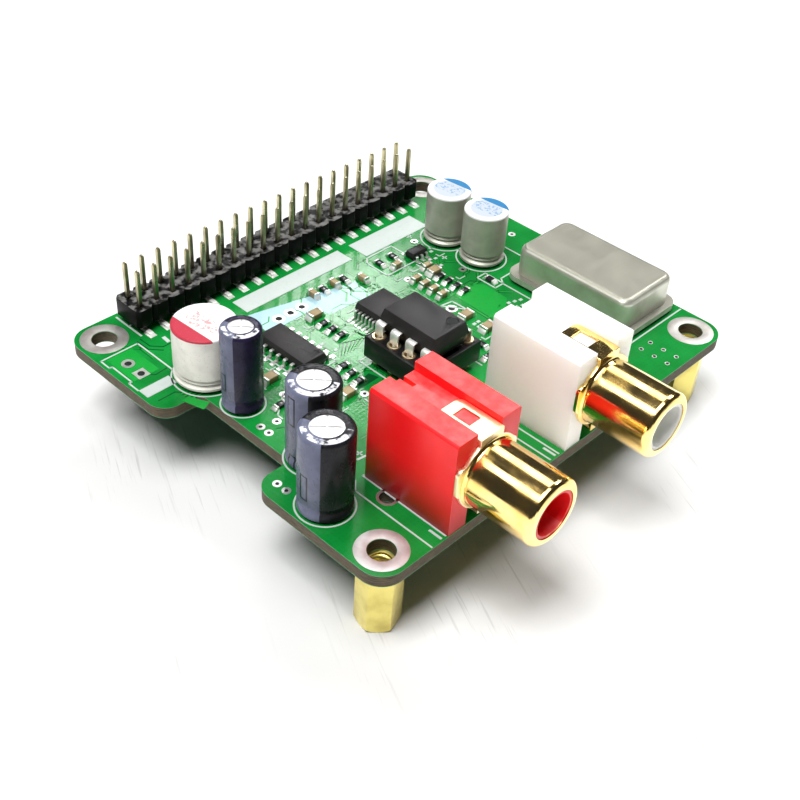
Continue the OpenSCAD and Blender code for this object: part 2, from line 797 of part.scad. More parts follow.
module oscillator_can() {
    can_w = osc_w - 2 * osc_rim;
    can_l = osc_l - 2 * osc_rim;
    r = osc_corner_r - osc_rim / 2;
    base = osc_lift + osc_plate_t;
    color([0.8, 0.8, 0.77]) on_board(osc_at) {
        translate([0, 0, base]) rounded_plate(osc_w, osc_l, osc_corner_r, osc_plate_t);
        translate([0, 0, base + osc_plate_t])
            rounded_plate(can_w, can_l, r, osc_h - osc_edge_r - base - osc_plate_t);
        hull() for (sx = [-1, 1], sy = [-1, 1])
            translate([sx * (can_w / 2 - r), sy * (can_l / 2 - r), osc_h - osc_edge_r])
                rotate_extrude($fn = 32) polygon(concat(
                    [[0, 0]], ring(osc_edge_r, 0, 90, 5, r - osc_edge_r, 0), [[0, osc_edge_r]]
                ));
    }
}

module oscillator_base() {
    color([0.72, 0.68, 0.5]) {
        on_board(osc_at) translate([0, 0, osc_lift]) rounded_plate(osc_w, osc_l, osc_corner_r, osc_plate_t);
        for (q = osc_points) translate([q[0], q[1], board_t]) difference() {
            cylinder(r = 0.9, h = osc_lift, $fn = wire_fn);
            translate([0, 0, -eps]) cylinder(d = osc_pin_d + 2 * fit, h = osc_lift, $fn = wire_fn);
        }
    }
}

module oscillator_pins() {
    color([0.8, 0.78, 0.6])
    for (q = osc_points) translate([q[0], q[1], -lead_tail])
        cylinder(d = osc_pin_d, h = board_t + osc_lift - 2 * eps + lead_tail, $fn = wire_fn);
}

// Amplifier in its socket

tail_d = 0.5;
collar_d = 1.35;
cup_t = 0.2;
cup_bore_d = 1;
leg_t = 0.25;
leg_shoulder_w = 1.35;
leg_pin_w = 0.5;
body_gap = 0.25;
frame_top = frame_lift + frame_h;
frame_w = row_span + leg_pitch;
frame_l = 4 * leg_pitch;
shoulder_h = frame_top + body_gap + amp_h / 2;
amp_offsets = [for (s = [-1, 1], i = [0:3]) [s * row_span / 2, (i - 1.5) * leg_pitch]];
amp_points = [for (p = amp_offsets) [amp_at[0] + p[0], amp_at[1] + p[1]]];

// A moulded chip body between z0 and z1 that is widest at its parting line
module chip_body(w, l, z0, z1, draft) {
    mid = (z0 + z1) / 2;
    hull() {
        translate([-w / 2, -l / 2, mid - 0.05]) cube([w, l, 0.1]);
        translate([draft - w / 2, draft - l / 2, z0]) cube([w - 2 * draft, l - 2 * draft, z1 - z0]);
    }
}

module amplifier_body() {
    top = frame_top + body_gap + amp_h;
    color([0.16, 0.15, 0.16]) on_board(amp_at) difference() {
        chip_body(amp_w, amp_l, frame_top + body_gap, top, 0.4);
        translate([amp_w / 2 - 1.45, 1.65 - amp_l / 2, top - 0.15]) cylinder(r = 0.75, h = 1, $fn = wire_fn);
    }
}

// A leg seen along Y: out of the body, round the bend and down to the top of its cup
module leg_profile() {
    start = amp_w / 2 + fit;
    outer = row_span / 2 + leg_t / 2;
    bend = 0.45;
    top = shoulder_h + leg_t / 2;
    polygon(concat(
        [[start, top - leg_t], [start, top]], ring(bend, 90, 0, 5, outer - bend, top - bend),
        [[outer, frame_top + cup_t], [outer - leg_t, frame_top + cup_t]],
        ring(bend - leg_t, 0, 90, 4, outer - bend, top - bend)
    ));
}

module amplifier_legs() {
    color([0.82, 0.8, 0.76]) on_board(amp_at)
    for (i = [0:3], s = [0, 1]) rotate([0, 0, 180 * s]) translate([0, (i - 1.5) * leg_pitch, 0]) {
        translate([0, leg_shoulder_w / 2, 0]) rotate([90, 0, 0]) linear_extrude(leg_shoulder_w) leg_profile();
        translate([row_span / 2 - leg_t / 2, -leg_pin_w / 2, frame_top - 1])
            cube([leg_t, leg_pin_w, 1 + cup_t + eps]);
    }
}

module amplifier_socket() {
    opening_w = row_span - 2 * leg_pitch * 0.85;
    color([0.06, 0.06, 0.07]) on_board(amp_at) difference() {
        translate([-frame_w / 2, -frame_l / 2, frame_lift]) cube([frame_w, frame_l, frame_h]);
        for (s = [-1, 1]) translate([-opening_w / 2, s * frame_l / 4 - frame_l / 5, frame_lift - 1])
            cube([opening_w, 0.4 * frame_l, frame_h + 2]);
        for (p = amp_offsets) translate([p[0], p[1], frame_lift - 1])
            cylinder(d = collar_d + 2 * fit, h = frame_h + 2, $fn = wire_fn);
    }
}

module amplifier_socket_contacts() {
    color([0.88, 0.74, 0.35])
    for (p = amp_points) on_board(p) rotate_extrude($fn = wire_fn) polygon([
        [0, -board_t - lead_tail], [tail_d / 2, -board_t - lead_tail], [tail_d / 2, 0],
        [collar_d / 2, 0], [collar_d / 2, frame_top], [cup_d / 2, frame_top],
        [cup_d / 2, frame_top + cup_t], [cup_bore_d / 2 + 0.15, frame_top + cup_t],
        [cup_bore_d / 2, frame_top], [cup_bore_d / 2, frame_top - 1.8], [0, frame_top - 1.8]
    ]);
}

// Surface chips

// A gull wing lead seen from its side: out at mid height, down, and flat on its pad
module wing_profile(half_w, reach, z_mid, t) {
    step = half_w + (reach - half_w) * 0.35;
    polygon([
        [half_w + fit, z_mid - t / 2], [half_w + fit, z_mid + t / 2], [step, z_mid + t / 2],
        [step + t, z_mid], [step + t + 0.1, t], [reach, t], [reach, 0], [step + 0.1, 0], [step, z_mid - t / 2]
    ]);
}

module wing_row(count, pitch, w, half_w, reach, z_mid, t) {
    for (s = [0, 1]) rotate([0, 0, 180 * s]) for (i = [0:count - 1])
        translate([0, (i - (count - 1) / 2) * pitch + w / 2, 0])
            rotate([90, 0, 0]) linear_extrude(w) wing_profile(half_w, reach, z_mid, t);
}

chip_lift = 0.1;

module converter_body() {
    color([0.2, 0.19, 0.18]) on_board(dac_at) chip_body(dac_w, dac_l, chip_lift, dac_h, 0.15);
}

module converter_leads() {
    color([0.85, 0.85, 0.85]) on_board(dac_at)
        wing_row(10, 0.65, 0.3, dac_w / 2, dac_w / 2 + 1.25, (chip_lift + dac_h) / 2, 0.15);
}

module logic_body() {
    color([0.2, 0.19, 0.18]) on_board(logic_at) difference() {
        chip_body(logic_w, logic_l, chip_lift, logic_h, 0.2);
        translate([logic_w / 2 - 1, 1 - logic_l / 2, logic_h - 0.1]) cylinder(r = 0.35, h = 1, $fn = wire_fn);
    }
}

module logic_leads() {
    color([0.85, 0.85, 0.85]) on_board(logic_at)
        wing_row(7, 1.27, 0.42, logic_w / 2, logic_w / 2 + 1.05, (chip_lift + logic_h) / 2, 0.2);
}

module regulator_body() {
    color([0.12, 0.12, 0.12]) on_board(regulator_at)
        chip_body(regulator_l, regulator_w, chip_lift, regulator_h, 0.1);
}

module regulator_leads() {
    color([0.85, 0.85, 0.85]) on_board(regulator_at) rotate([0, 0, 90])
        wing_row(3, 0.95, 0.4, regulator_w / 2, regulator_w / 2 + 0.6, (chip_lift + regulator_h) / 2, 0.15);
}

// Chip parts: a body between two metal ends, all resting on the board

module each_part(list) {
    for (p = list) on_board(p) rotate([0, 0, p[2]]) children();
}

module part_middle(l, w, h) {
    translate([terminal_l - l / 2, -w / 2, 0]) cube([l - 2 * terminal_l, w, h]);
}

module part_ends(l, w, h) {
    grown_w = w + 2 * terminal_grow;
    for (s = [-1, 1]) translate([s * (l - terminal_l) / 2 - terminal_l / 2, -grown_w / 2, 0])
        cube([terminal_l, grown_w, h + terminal_grow]);
}

module chip_resistors() {
    color([0.08, 0.08, 0.09]) each_part(small_resistors) part_middle(small_l, small_w, resistor_h);
}

module chip_capacitors() {
    color([0.6, 0.5, 0.38]) {
        each_part(small_capacitors) part_middle(small_l, small_w, capacitor_h);
        each_part(large_capacitors) part_middle(large_l, large_w, capacitor_h);
    }
}

module chip_terminals() {
    color([0.9, 0.9, 0.9]) {
        each_part(small_resistors) part_ends(small_l, small_w, resistor_h);
        each_part(small_capacitors) part_ends(small_l, small_w, capacitor_h);
        each_part(large_capacitors) part_ends(large_l, large_w, capacitor_h);
    }
}

circuit_board();
header_strip();
header_pins();
header_feet();
socket_strip();
socket_contacts();
standoff_left();
standoff_right();
red_jack_housing();
red_jack_barrel();
red_jack_ground();
red_jack_contact();
white_jack_housing();
white_jack_barrel();
white_jack_ground();
white_jack_contact();
front_capacitor_can();
front_capacitor_sleeve();
front_capacitor_seal();
front_capacitor_leads();
middle_capacitor_can();
middle_capacitor_sleeve();
middle_capacitor_seal();
middle_capacitor_leads();
slim_capacitor_can();
slim_capacitor_sleeve();
slim_capacitor_seal();
slim_capacitor_leads();
white_capacitor_can();
white_capacitor_seal();
white_capacitor_leads();
rear_silver_capacitor_can();
rear_silver_capacitor_seal();
rear_silver_capacitor_leads();
front_silver_capacitor_can();
front_silver_capacitor_seal();
front_silver_capacitor_leads();
oscillator_can();
oscillator_base();
oscillator_pins();
amplifier_body();
amplifier_legs();
amplifier_socket();
amplifier_socket_contacts();
converter_body();
converter_leads();
logic_body();
logic_leads();
regulator_body();
regulator_leads();
chip_resistors();
chip_capacitors();
chip_terminals();
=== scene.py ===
"""Looks of an add-on audio board with two phono jacks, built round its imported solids."""

import logging
import math
import random
from collections.abc import Sequence
from dataclasses import dataclass, field
from enum import Enum

import bmesh
import bpy
from mathutils import Euler, Matrix, Vector


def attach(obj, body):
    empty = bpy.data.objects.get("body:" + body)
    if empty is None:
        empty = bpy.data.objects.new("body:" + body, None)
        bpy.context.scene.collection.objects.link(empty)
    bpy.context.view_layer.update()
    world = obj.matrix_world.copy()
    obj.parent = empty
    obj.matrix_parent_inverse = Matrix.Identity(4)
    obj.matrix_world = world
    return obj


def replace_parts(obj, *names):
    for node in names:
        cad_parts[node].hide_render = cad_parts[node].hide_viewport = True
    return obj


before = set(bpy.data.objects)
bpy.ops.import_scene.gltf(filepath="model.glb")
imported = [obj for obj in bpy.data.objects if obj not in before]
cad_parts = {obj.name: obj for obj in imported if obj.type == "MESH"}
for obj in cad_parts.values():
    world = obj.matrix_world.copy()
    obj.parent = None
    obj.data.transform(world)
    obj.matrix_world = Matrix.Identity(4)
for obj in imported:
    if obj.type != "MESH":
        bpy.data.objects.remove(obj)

log = logging.getLogger("audio_board")

# A millimetre in metres, and the body that every piece rides on
MM = 0.001
BODY = "root"

# The board's upper face, how far a piece sinks into what carries it, and where pieces on the board start
BOARD_TOP = 1.6
SUNK = 0.01
BASE = BOARD_TOP - SUNK

# Edges of a solid above this many degrees are rounded
SHARP = 30.0

Point = tuple[float, float]
Span = tuple[float, float]
Colour = tuple[float, float, float]


# Shader maths


class Field:
    """A socket of a node tree, with Python's arithmetic on it."""

    def __init__(self, nodes: "Nodes", socket: bpy.types.NodeSocket) -> None:
        """Keeps the socket and the tree that it is in."""
        self.nodes = nodes
        self.socket = socket

    def _math(self, operation: str, *values: "Value") -> "Field":
        """Adds a Math node on these values."""
        return self.nodes.node("ShaderNodeMath", {"operation": operation}, dict(enumerate(values)))

    def __add__(self, other: "Value") -> "Field":
        """self + other."""
        return self._math("ADD", self, other)

    __radd__ = __add__

    def __sub__(self, other: "Value") -> "Field":
        """self - other."""
        return self._math("SUBTRACT", self, other)

    def __rsub__(self, other: "Value") -> "Field":
        """other - self."""
        return self._math("SUBTRACT", other, self)

    def __mul__(self, other: "Value") -> "Field":
        """self * other."""
        return self._math("MULTIPLY", self, other)

    __rmul__ = __mul__

    def __pow__(self, other: "Value") -> "Field":
        """self ** other."""
        return self._math("POWER", self, other)

    def __gt__(self, other: "Value") -> "Field":
        """1 where self is above other."""
        return self._math("GREATER_THAN", self, other)

    def __lt__(self, other: "Value") -> "Field":
        """1 where self is below other."""
        return self._math("LESS_THAN", self, other)

    def __abs__(self) -> "Field":
        """The size of self."""
        return self._math("ABSOLUTE", self)

    def either(self, other: "Value") -> "Field":
        """The larger of two masks."""
        return self._math("MAXIMUM", self, other)

    def within(self, low: float, high: float) -> "Field":
        """1 where self lies between low and high."""
        return (self > low) * (self < high)

    def spread(self, low: float, high: float, to_low: float = 0.0, to_high: float = 1.0) -> "Field":
        """self carried from one range to another, and held at its ends.

        Args:
            low: Value that becomes to_low.
            high: Value that becomes to_high.
            to_low: Result at and under low.
            to_high: Result at and over high.

        Returns:
            The carried value.
        """
        inputs = {"From Min": low, "From Max": high, "To Min": to_low, "To Max": to_high, "Value": self}
        return self.nodes.node("ShaderNodeMapRange", {"clamp": True}, inputs)


Value = Field | float | Sequence[float]


class Nodes:
    """A node tree, with one way to add nodes to it."""

    def __init__(self, tree: bpy.types.NodeTree) -> None:
        """Keeps the tree."""
        self.tree = tree

    def node(
        self,
        kind: str,
        settings: dict | None = None,
        inputs: dict | None = None,
        out: int | str = 0,
    ) -> Field:
        """Adds any node.

        Args:
            kind: The node's type.
            settings: Its properties, set first.
            inputs: Values or links of its sockets, by name or number.
            out: Name or number of the output to use.

        Returns:
            The chosen output.
        """
        made = self.tree.nodes.new(kind)
        for key, value in (settings or {}).items():
            setattr(made, key, value)
        for key, value in (inputs or {}).items():
            self.plug(made.inputs[key], value)
        return Field(self, made.outputs[out])

    def plug(self, socket: bpy.types.NodeSocket, value: Value) -> None:
        """Gives a socket its value.

        Args:
            socket: The socket.
            value: A field to link to it, or its own value.
        """
        if isinstance(value, Field):
            self.tree.links.new(value.socket, socket)
        else:
            socket.default_value = value


class Shader(Nodes):
    """One material with a Principled surface, and the nodes that feed it."""

    def __init__(self, name: str) -> None:
        """Starts the material and its coordinates in millimetres.

        Args:
            name: Name of the material.
        """
        self.material = bpy.data.materials.new(name)
        self.material.use_nodes = True
        super().__init__(self.material.node_tree)
        self.surface = self.tree.nodes["Principled BSDF"]
        place = self.node("ShaderNodeTexCoord", out="Object")
        self.place = self.node("ShaderNodeVectorMath", {"operation": "SCALE"}, {0: place, "Scale": 1 / MM})

    def axes(self, vector: Field | None = None) -> tuple[Field, Field, Field]:
        """The x, y and z of a vector.

        Args:
            vector: The vector, or None for the place in millimetres.

        Returns:
            Its three parts.
        """
        source = self.place if vector is None else vector
        split = self.node("ShaderNodeSeparateXYZ", inputs={0: source}).socket.node
        return tuple(Field(self, split.outputs[k]) for k in range(3))

    def upward(self) -> Field:
        """How far the surface faces up: 1 on top, 0 on a side and -1 below."""
        return self.axes(self.node("ShaderNodeNewGeometry", out="Normal"))[2]

    def reach(self, centre: Point = (0.0, 0.0)) -> Field:
        """The distance from an upright axis.

        Args:
            centre: Place of the axis.

        Returns:
            Millimetres from it.
        """
        x, y, _ = self.axes()
        dx, dy = x - centre[0], y - centre[1]
        return (dx * dx + dy * dy) ** 0.5

    def noise(
        self,
        size: float,
        detail: float = 2.0,
        stretch: Sequence[float] = (1, 1, 1),
        turn: float = 0.0,
    ) -> Field:
        """Noise as a field from 0 to 1.

        Args:
            size: Size of its grains, in millimetres.
            detail: Octaves of finer noise.
            stretch: Factor on each axis; a small one draws the grains out.
            turn: Degrees about Z of the frame that is stretched.

        Returns:
            The field.
        """
        place = self.place
        if turn:
            angle = {"Vector": place, "Angle": -math.radians(turn)}
            place = self.node("ShaderNodeVectorRotate", {"rotation_type": "Z_AXIS"}, angle)
        place = self.node("ShaderNodeVectorMath", {"operation": "MULTIPLY"}, {0: place, 1: tuple(stretch)})
        inputs = {"Vector": place, "Scale": 1 / size, "Detail": detail}
        return self.node("ShaderNodeTexNoise", inputs=inputs)

    def mix(self, first: Value, second: Value, share: Value) -> Field:
        """A colour between two colours.

        Args:
            first: Colour where share is 0.
            second: Colour where share is 1.
            share: How far to go from the first to the second.

        Returns:
            The mixed colour.
        """
        inputs = {0: share, 6: rgba(first), 7: rgba(second)}
        made = self.node("ShaderNodeMix", {"data_type": "RGBA"}, inputs).socket.node
        return Field(self, made.outputs[2])

    def bump(self, height: Field, depth: float) -> None:
        """Feeds the surface's normal with a height field, depth in millimetres."""
        self.dress(Normal=self.node("ShaderNodeBump", inputs={"Height": height, "Distance": depth * MM}))

    def dress(self, **sockets: Value) -> None:
        """Sets the surface's sockets.

        Args:
            **sockets: Values or links by the socket's name, with _ for a space.
        """
        for name, value in sockets.items():
            key = name.replace("_", " ")
            self.plug(self.surface.inputs[key], rgba(value) if "Color" in key else value)


def rgba(value: Value) -> Value:
    """A colour with an alpha of 1; a field stays as it is."""
    return value if isinstance(value, Field) else (*value[:3], 1.0)


def toned(colour: Colour, share: float) -> Colour:
    """A colour with each of its parts times a share."""
    return tuple(share * part for part in colour)


# Finishes


@dataclass(frozen=True)
class Metal:
    """A plated or bare metal with fine grain and small stains, and optional painted shade towards its foot
    and on its lid.
    """

    name: str
    colour: Colour
    shade: Colour
    roughness: float = 0.2
    grain: Sequence[float] = (1, 1, 1)
    grain_size: float = 0.6
    depth: float = 0.004
    metallic: float = 1.0
    painted_foot_shade: Span | None = None
    painted_foot_share: float = 0.2
    painted_lid_shade: float = 1.0
    painted_lid_span: Span = (0.6, 0.95)

    def make(self) -> bpy.types.Material:
        """Builds the material.

        Returns:
            The material.
        """
        s = Shader(self.name)
        stain = s.noise(2.6, 4).spread(0.42, 0.68)
        grain = s.noise(self.grain_size, 3, self.grain)
        rough = grain * 0.14 + stain * 0.08 + (self.roughness - 0.09)
        colour = s.mix(self.colour, self.shade, stain)
        # Darker towards the foot: painted shade.
        if self.painted_foot_shade:
            height = s.axes()[2].spread(*self.painted_foot_shade)
            colour = s.mix(toned(self.shade, self.painted_foot_share), colour, height)
        # The lid toned darker than the side: painted shade.
        if self.painted_lid_shade != 1:
            colour = s.mix(colour, toned(self.shade, self.painted_lid_shade), s.upward().spread(*self.painted_lid_span))
        s.dress(Base_Color=colour, Metallic=self.metallic, Roughness=rough)
        s.bump(grain, self.depth)
        return s.material


@dataclass(frozen=True)
class Moulding:
    """Moulded plastic with a fine skin, faint flow marks and scuffs, and optional painted sheen on its top
    and painted shade towards its foot.
    """

    name: str
    colour: Colour
    shade: Colour
    roughness: float = 0.35
    skin: float = 0.12
    depth: float = 0.006
    scuff: float = 0.04
    scuff_colour: Colour = (0.5, 0.5, 0.5)
    sheen: float = 0.3
    painted_sheen: float = 0.0
    painted_sheen_colour: Colour = (0.25, 0.245, 0.235)
    painted_sheen_spread: Span = (0.44, 0.60)
    painted_sheen_size: float = 1.0
    painted_sheen_level: float = 0.8
    depth_of_light: float = 0.0
    light_share: float = 0.6
    light_tint: Colour = (0.9, 1.0, 0.8)
    painted_foot_shade: Span | None = None
    painted_foot_share: float = 0.45

    def make(self) -> bpy.types.Material:
        """Builds the material.

        Returns:
            The material.
        """
        s = Shader(self.name)
        flow = s.noise(5.0, 3, (1, 1, 0.5)).spread(0.35, 0.7)
        skin = s.noise(self.skin, 2)
        scuffs = s.noise(0.5, 6, (1, 0.25, 1)).spread(0.66, 0.74, 0, self.scuff)
        colour = s.mix(s.mix(self.colour, self.shade, flow), self.scuff_colour, scuffs)
        rough = skin * 0.12 + flow * 0.06 + scuffs + (self.roughness - 0.08)
        # Darker towards the foot: painted shade.
        if self.painted_foot_shade:
            height = s.axes()[2].spread(*self.painted_foot_shade)
            colour = s.mix(toned(self.shade, self.painted_foot_share), colour, height)
        # Pale patches on upward faces: painted sheen, reflected light painted into the colour.
        if self.painted_sheen:
            painted_sheen_patches = s.noise(self.painted_sheen_size, 3).spread(*self.painted_sheen_spread, 0, self.painted_sheen)
            colour = s.mix(colour, self.painted_sheen_colour, painted_sheen_patches * (s.upward() > self.painted_sheen_level))
        if self.depth_of_light:
            s.dress(Subsurface_Weight=self.light_share, Subsurface_Scale=self.depth_of_light * MM)
            s.dress(Subsurface_Radius=self.light_tint)
        s.dress(Base_Color=colour, Roughness=rough, Specular_IOR_Level=self.sheen)
        s.bump(skin, self.depth)
        return s.material


@dataclass(frozen=True)
class Laminate:
    """Green solder mask on both faces, with the underside painted darker as painted shade, and brown cut
    laminate between them.
    """

    name: str = "laminate"
    thickness: float = BOARD_TOP
    bare_rim: float = 0.06
    weave_scale: float = 0.55
    mask: Colour = (0.003, 0.160, 0.022)
    mask_light: Colour = (0.006, 0.215, 0.034)
    weave_gap_and_underside_shade: Colour = (0.002, 0.06, 0.012)
    core: Colour = (0.115, 0.09, 0.052)
    core_dark: Colour = (0.044, 0.036, 0.023)
    rim: Colour = (0.10, 0.36, 0.18)

    def make(self) -> bpy.types.Material:
        """Builds the material.

        Returns:
            The material.
        """
        s = Shader(self.name)
        height = s.axes()[2]
        cloud = s.noise(4.0, 3).spread(0.35, 0.7)
        bands = {"Vector": s.place, "Scale": self.weave_scale}
        warp, weft = (s.node("ShaderNodeTexWave", {"bands_direction": axis}, bands) for axis in "XY")
        weave = warp * weft
        face = s.mix(s.mix(self.mask, self.mask_light, cloud), self.weave_gap_and_underside_shade, weave * 0.12)
        layers = s.noise(0.35, 3, (0.3, 0.3, 5)).spread(0.4, 0.62)
        edge = s.mix(self.core, self.core_dark, layers)
        cut = height.within(self.bare_rim, self.thickness - self.bare_rim)
        side = abs(s.upward()) < 0.5
        # The underside takes the dark gap colour: painted shade.
        skin = s.mix(s.mix(face, self.weave_gap_and_underside_shade, height < 0.5 * self.thickness), self.rim, side)
        s.dress(Base_Color=s.mix(skin, edge, cut * side))
        grain = s.noise(0.22, 2)
        s.dress(Roughness=grain * 0.08 + (cut * side) * 0.45 + 0.14, Specular_IOR_Level=0.24)
        s.bump(grain + weave * 0.5 + layers * cut, 0.008)
        return s.material


@dataclass(frozen=True)
class SleeveFilm:
    """A capacitor's printed sleeve: dark film with a pale stripe, outlined marks on it, and a painted
    highlight on the lip's near side.
    """

    name: str
    centre: Point
    radius: float
    top: float
    film: Colour
    stripe: Colour
    stripe_span: Span
    marks: tuple[Span, ...]
    mark_span: Span
    line: float = 0.22
    painted_highlight_turns: Span = (140.0, 305.0)
    painted_highlight_colour: Colour = (0.72, 0.72, 0.78)

    def make(self) -> bpy.types.Material:
        """Builds the material.

        Returns:
            The material.
        """
        s = Shader(self.name)
        x, y, z = s.axes()
        across = {0: y - self.centre[1], 1: x - self.centre[0]}
        turn = s.node("ShaderNodeMath", {"operation": "ARCTAN2"}, across) * (180 / math.pi)
        turn = turn + (turn < 0) * 360
        stripe = turn.within(*self.stripe_span)
        side = z < self.top - 0.75
        step = math.degrees(self.line / self.radius)
        start, stop = self.mark_span
        wide = turn.within(start, stop)
        slim = turn.within(start + step, stop - step)
        outline: Value = 0.0
        for low, high in self.marks:
            box = wide * z.within(low, high) - slim * z.within(low + self.line, high - self.line)
            outline = box.either(outline)
        blotch = s.noise(1.6, 3).spread(0.4, 0.7)
        stripe_tone = s.mix(self.stripe, toned(self.stripe, 0.72), blotch)
        dark = s.mix(self.film, toned(self.film, 1.7), blotch)
        colour = s.mix(s.mix(dark, stripe_tone, stripe), self.film, outline * side)
        wrinkle = s.noise(0.9, 2, (1, 1, 0.6))
        near_top = z.spread(self.top - 1.1, self.top - 0.5)
        # White streaks on the lip's near side: a painted highlight.
        painted_highlight_streaks = s.noise(0.7, 3, (1, 1, 1.6)).spread(0.40, 0.52)
        lip = s.reach(self.centre).within(self.radius * 0.69, self.radius * 0.9) * (z > self.top - 0.9)
        stretched = painted_highlight_streaks * turn.within(*self.painted_highlight_turns) * lip
        colour = s.mix(colour, self.painted_highlight_colour, stretched * 0.9)
        s.dress(Base_Color=colour, Roughness=wrinkle * 0.08 + 0.24, Specular_IOR_Level=0.13)
        s.bump(wrinkle * (near_top * 2.5 + 0.6), 0.03)
        return s.material


@dataclass(frozen=True)
class PrintedCan:
    """A coated capacitor can with a coloured segment on its top and specks on its side."""

    name: str
    centre: Point
    top: float
    coat: Colour
    top_coat: Colour
    ink: Colour
    faint: Colour
    chord: float
    towards: float
    speck: Colour
    metallic: float
    roughness: float
    rim_colour: Colour = (0.70, 0.70, 0.69)

    def make(self) -> bpy.types.Material:
        """Builds the material.

        Returns:
            The material.
        """
        s = Shader(self.name)
        x, y, z = s.axes()
        lean = math.radians(self.towards)
        along = (x - self.centre[0]) * math.cos(lean) + (y - self.centre[1]) * math.sin(lean)
        cap = z > self.top - 0.3
        segment = (along > self.chord) * cap
        grain = s.noise(0.25, 3)
        specks = s.noise(0.2, 2).spread(0.66, 0.72) * (1 - cap)
        cloud = s.noise(1.8, 3).spread(0.4, 0.7)
        side = s.mix(self.coat, toned(self.coat, 0.82), cloud)
        coat = s.mix(s.mix(side, self.top_coat, cap), self.speck, specks * 0.55)
        middle = along.within(-0.9, self.chord - 0.35) * cap
        blots = s.noise(0.42, 2).spread(0.50, 0.60) * middle
        ink = s.mix(self.ink, self.faint, s.noise(0.16, 3).spread(0.62, 0.7) * 0.4)
        rim = s.reach(self.centre).spread(self.chord + 0.5, self.chord + 0.8) * cap
        coat = s.mix(s.mix(coat, self.faint, blots * 0.75), self.rim_colour, rim)
        s.dress(Base_Color=s.mix(coat, ink, segment), Specular_IOR_Level=0.2)
        s.dress(Metallic=(1 - cap) * self.metallic, Roughness=grain * 0.16 + (self.roughness - 0.08))
        s.bump(grain, 0.008)
        return s.material


@dataclass(frozen=True)
class Print:
    """Screen print: opaque ink with a slightly uneven coat."""

    name: str
    colour: Colour
    shade: Colour
    roughness: float = 0.55

    def make(self) -> bpy.types.Material:
        """Builds the material.

        Returns:
            The material.
        """
        s = Shader(self.name)
        thin = s.noise(0.5, 4).spread(0.55, 0.8)
        grain = s.noise(0.15, 2)
        s.dress(Base_Color=s.mix(self.colour, self.shade, thin), Specular_IOR_Level=0.3)
        s.dress(Roughness=grain * 0.15 + (self.roughness - 0.08))
        s.bump(grain, 0.006)
        return s.material


@dataclass(frozen=True)
class Tabletop:
    """The white table below, with faint scratches, painted darker near the board as painted shade, which
    turns plain white far from the board.
    """

    name: str = "tabletop"
    grain_turn: float = 64.0
    lit: Colour = (0.93, 0.93, 0.925)
    seen_near_painted_shade: Colour = (0.655, 0.655, 0.648)
    seen_far: Colour = (0.76, 0.76, 0.757)
    scratch: Colour = (0.36, 0.36, 0.35)
    strength: float = 0.5
    painted_shade_fade: Span = (60.0, 110.0)
    white_span: Span = (230.0, 600.0)

    def make(self) -> bpy.types.Material:
        """Builds the material, with its own tones for what the camera sees of it.

        Returns:
            The material.
        """
        s = Shader(self.name)
        coarse, fine, patch = (
            s.noise(size, detail, (thin, 1, 1), self.grain_turn).spread(low, high)
            for size, detail, thin, low, high in (
                (0.6, 4, 0.045, 0.60, 0.68),
                (0.35, 3, 0.05, 0.62, 0.72),
                (16.0, 2, 0.5, 0.46, 0.6),
            )
        )
        marks = coarse.either(fine * 0.7) * patch
        seen = s.node("ShaderNodeLightPath", out="Is Camera Ray")
        reach = s.reach()
        # Darker near the board for the camera: painted shade.
        seen_tone_with_painted_shade = s.mix(self.seen_near_painted_shade, self.seen_far, reach.spread(*self.painted_shade_fade))
        tone = s.mix(self.lit, seen_tone_with_painted_shade, seen)
        s.dress(Base_Color=s.mix(tone, self.scratch, marks * self.strength))
        glow = s.mix((0.0, 0.0, 0.0), (1.0, 1.0, 1.0), reach.spread(*self.white_span) * seen)
        s.dress(Emission_Color=glow, Emission_Strength=1.0)
        s.dress(Roughness=0.62, Specular_IOR_Level=0.2)
        return s.material


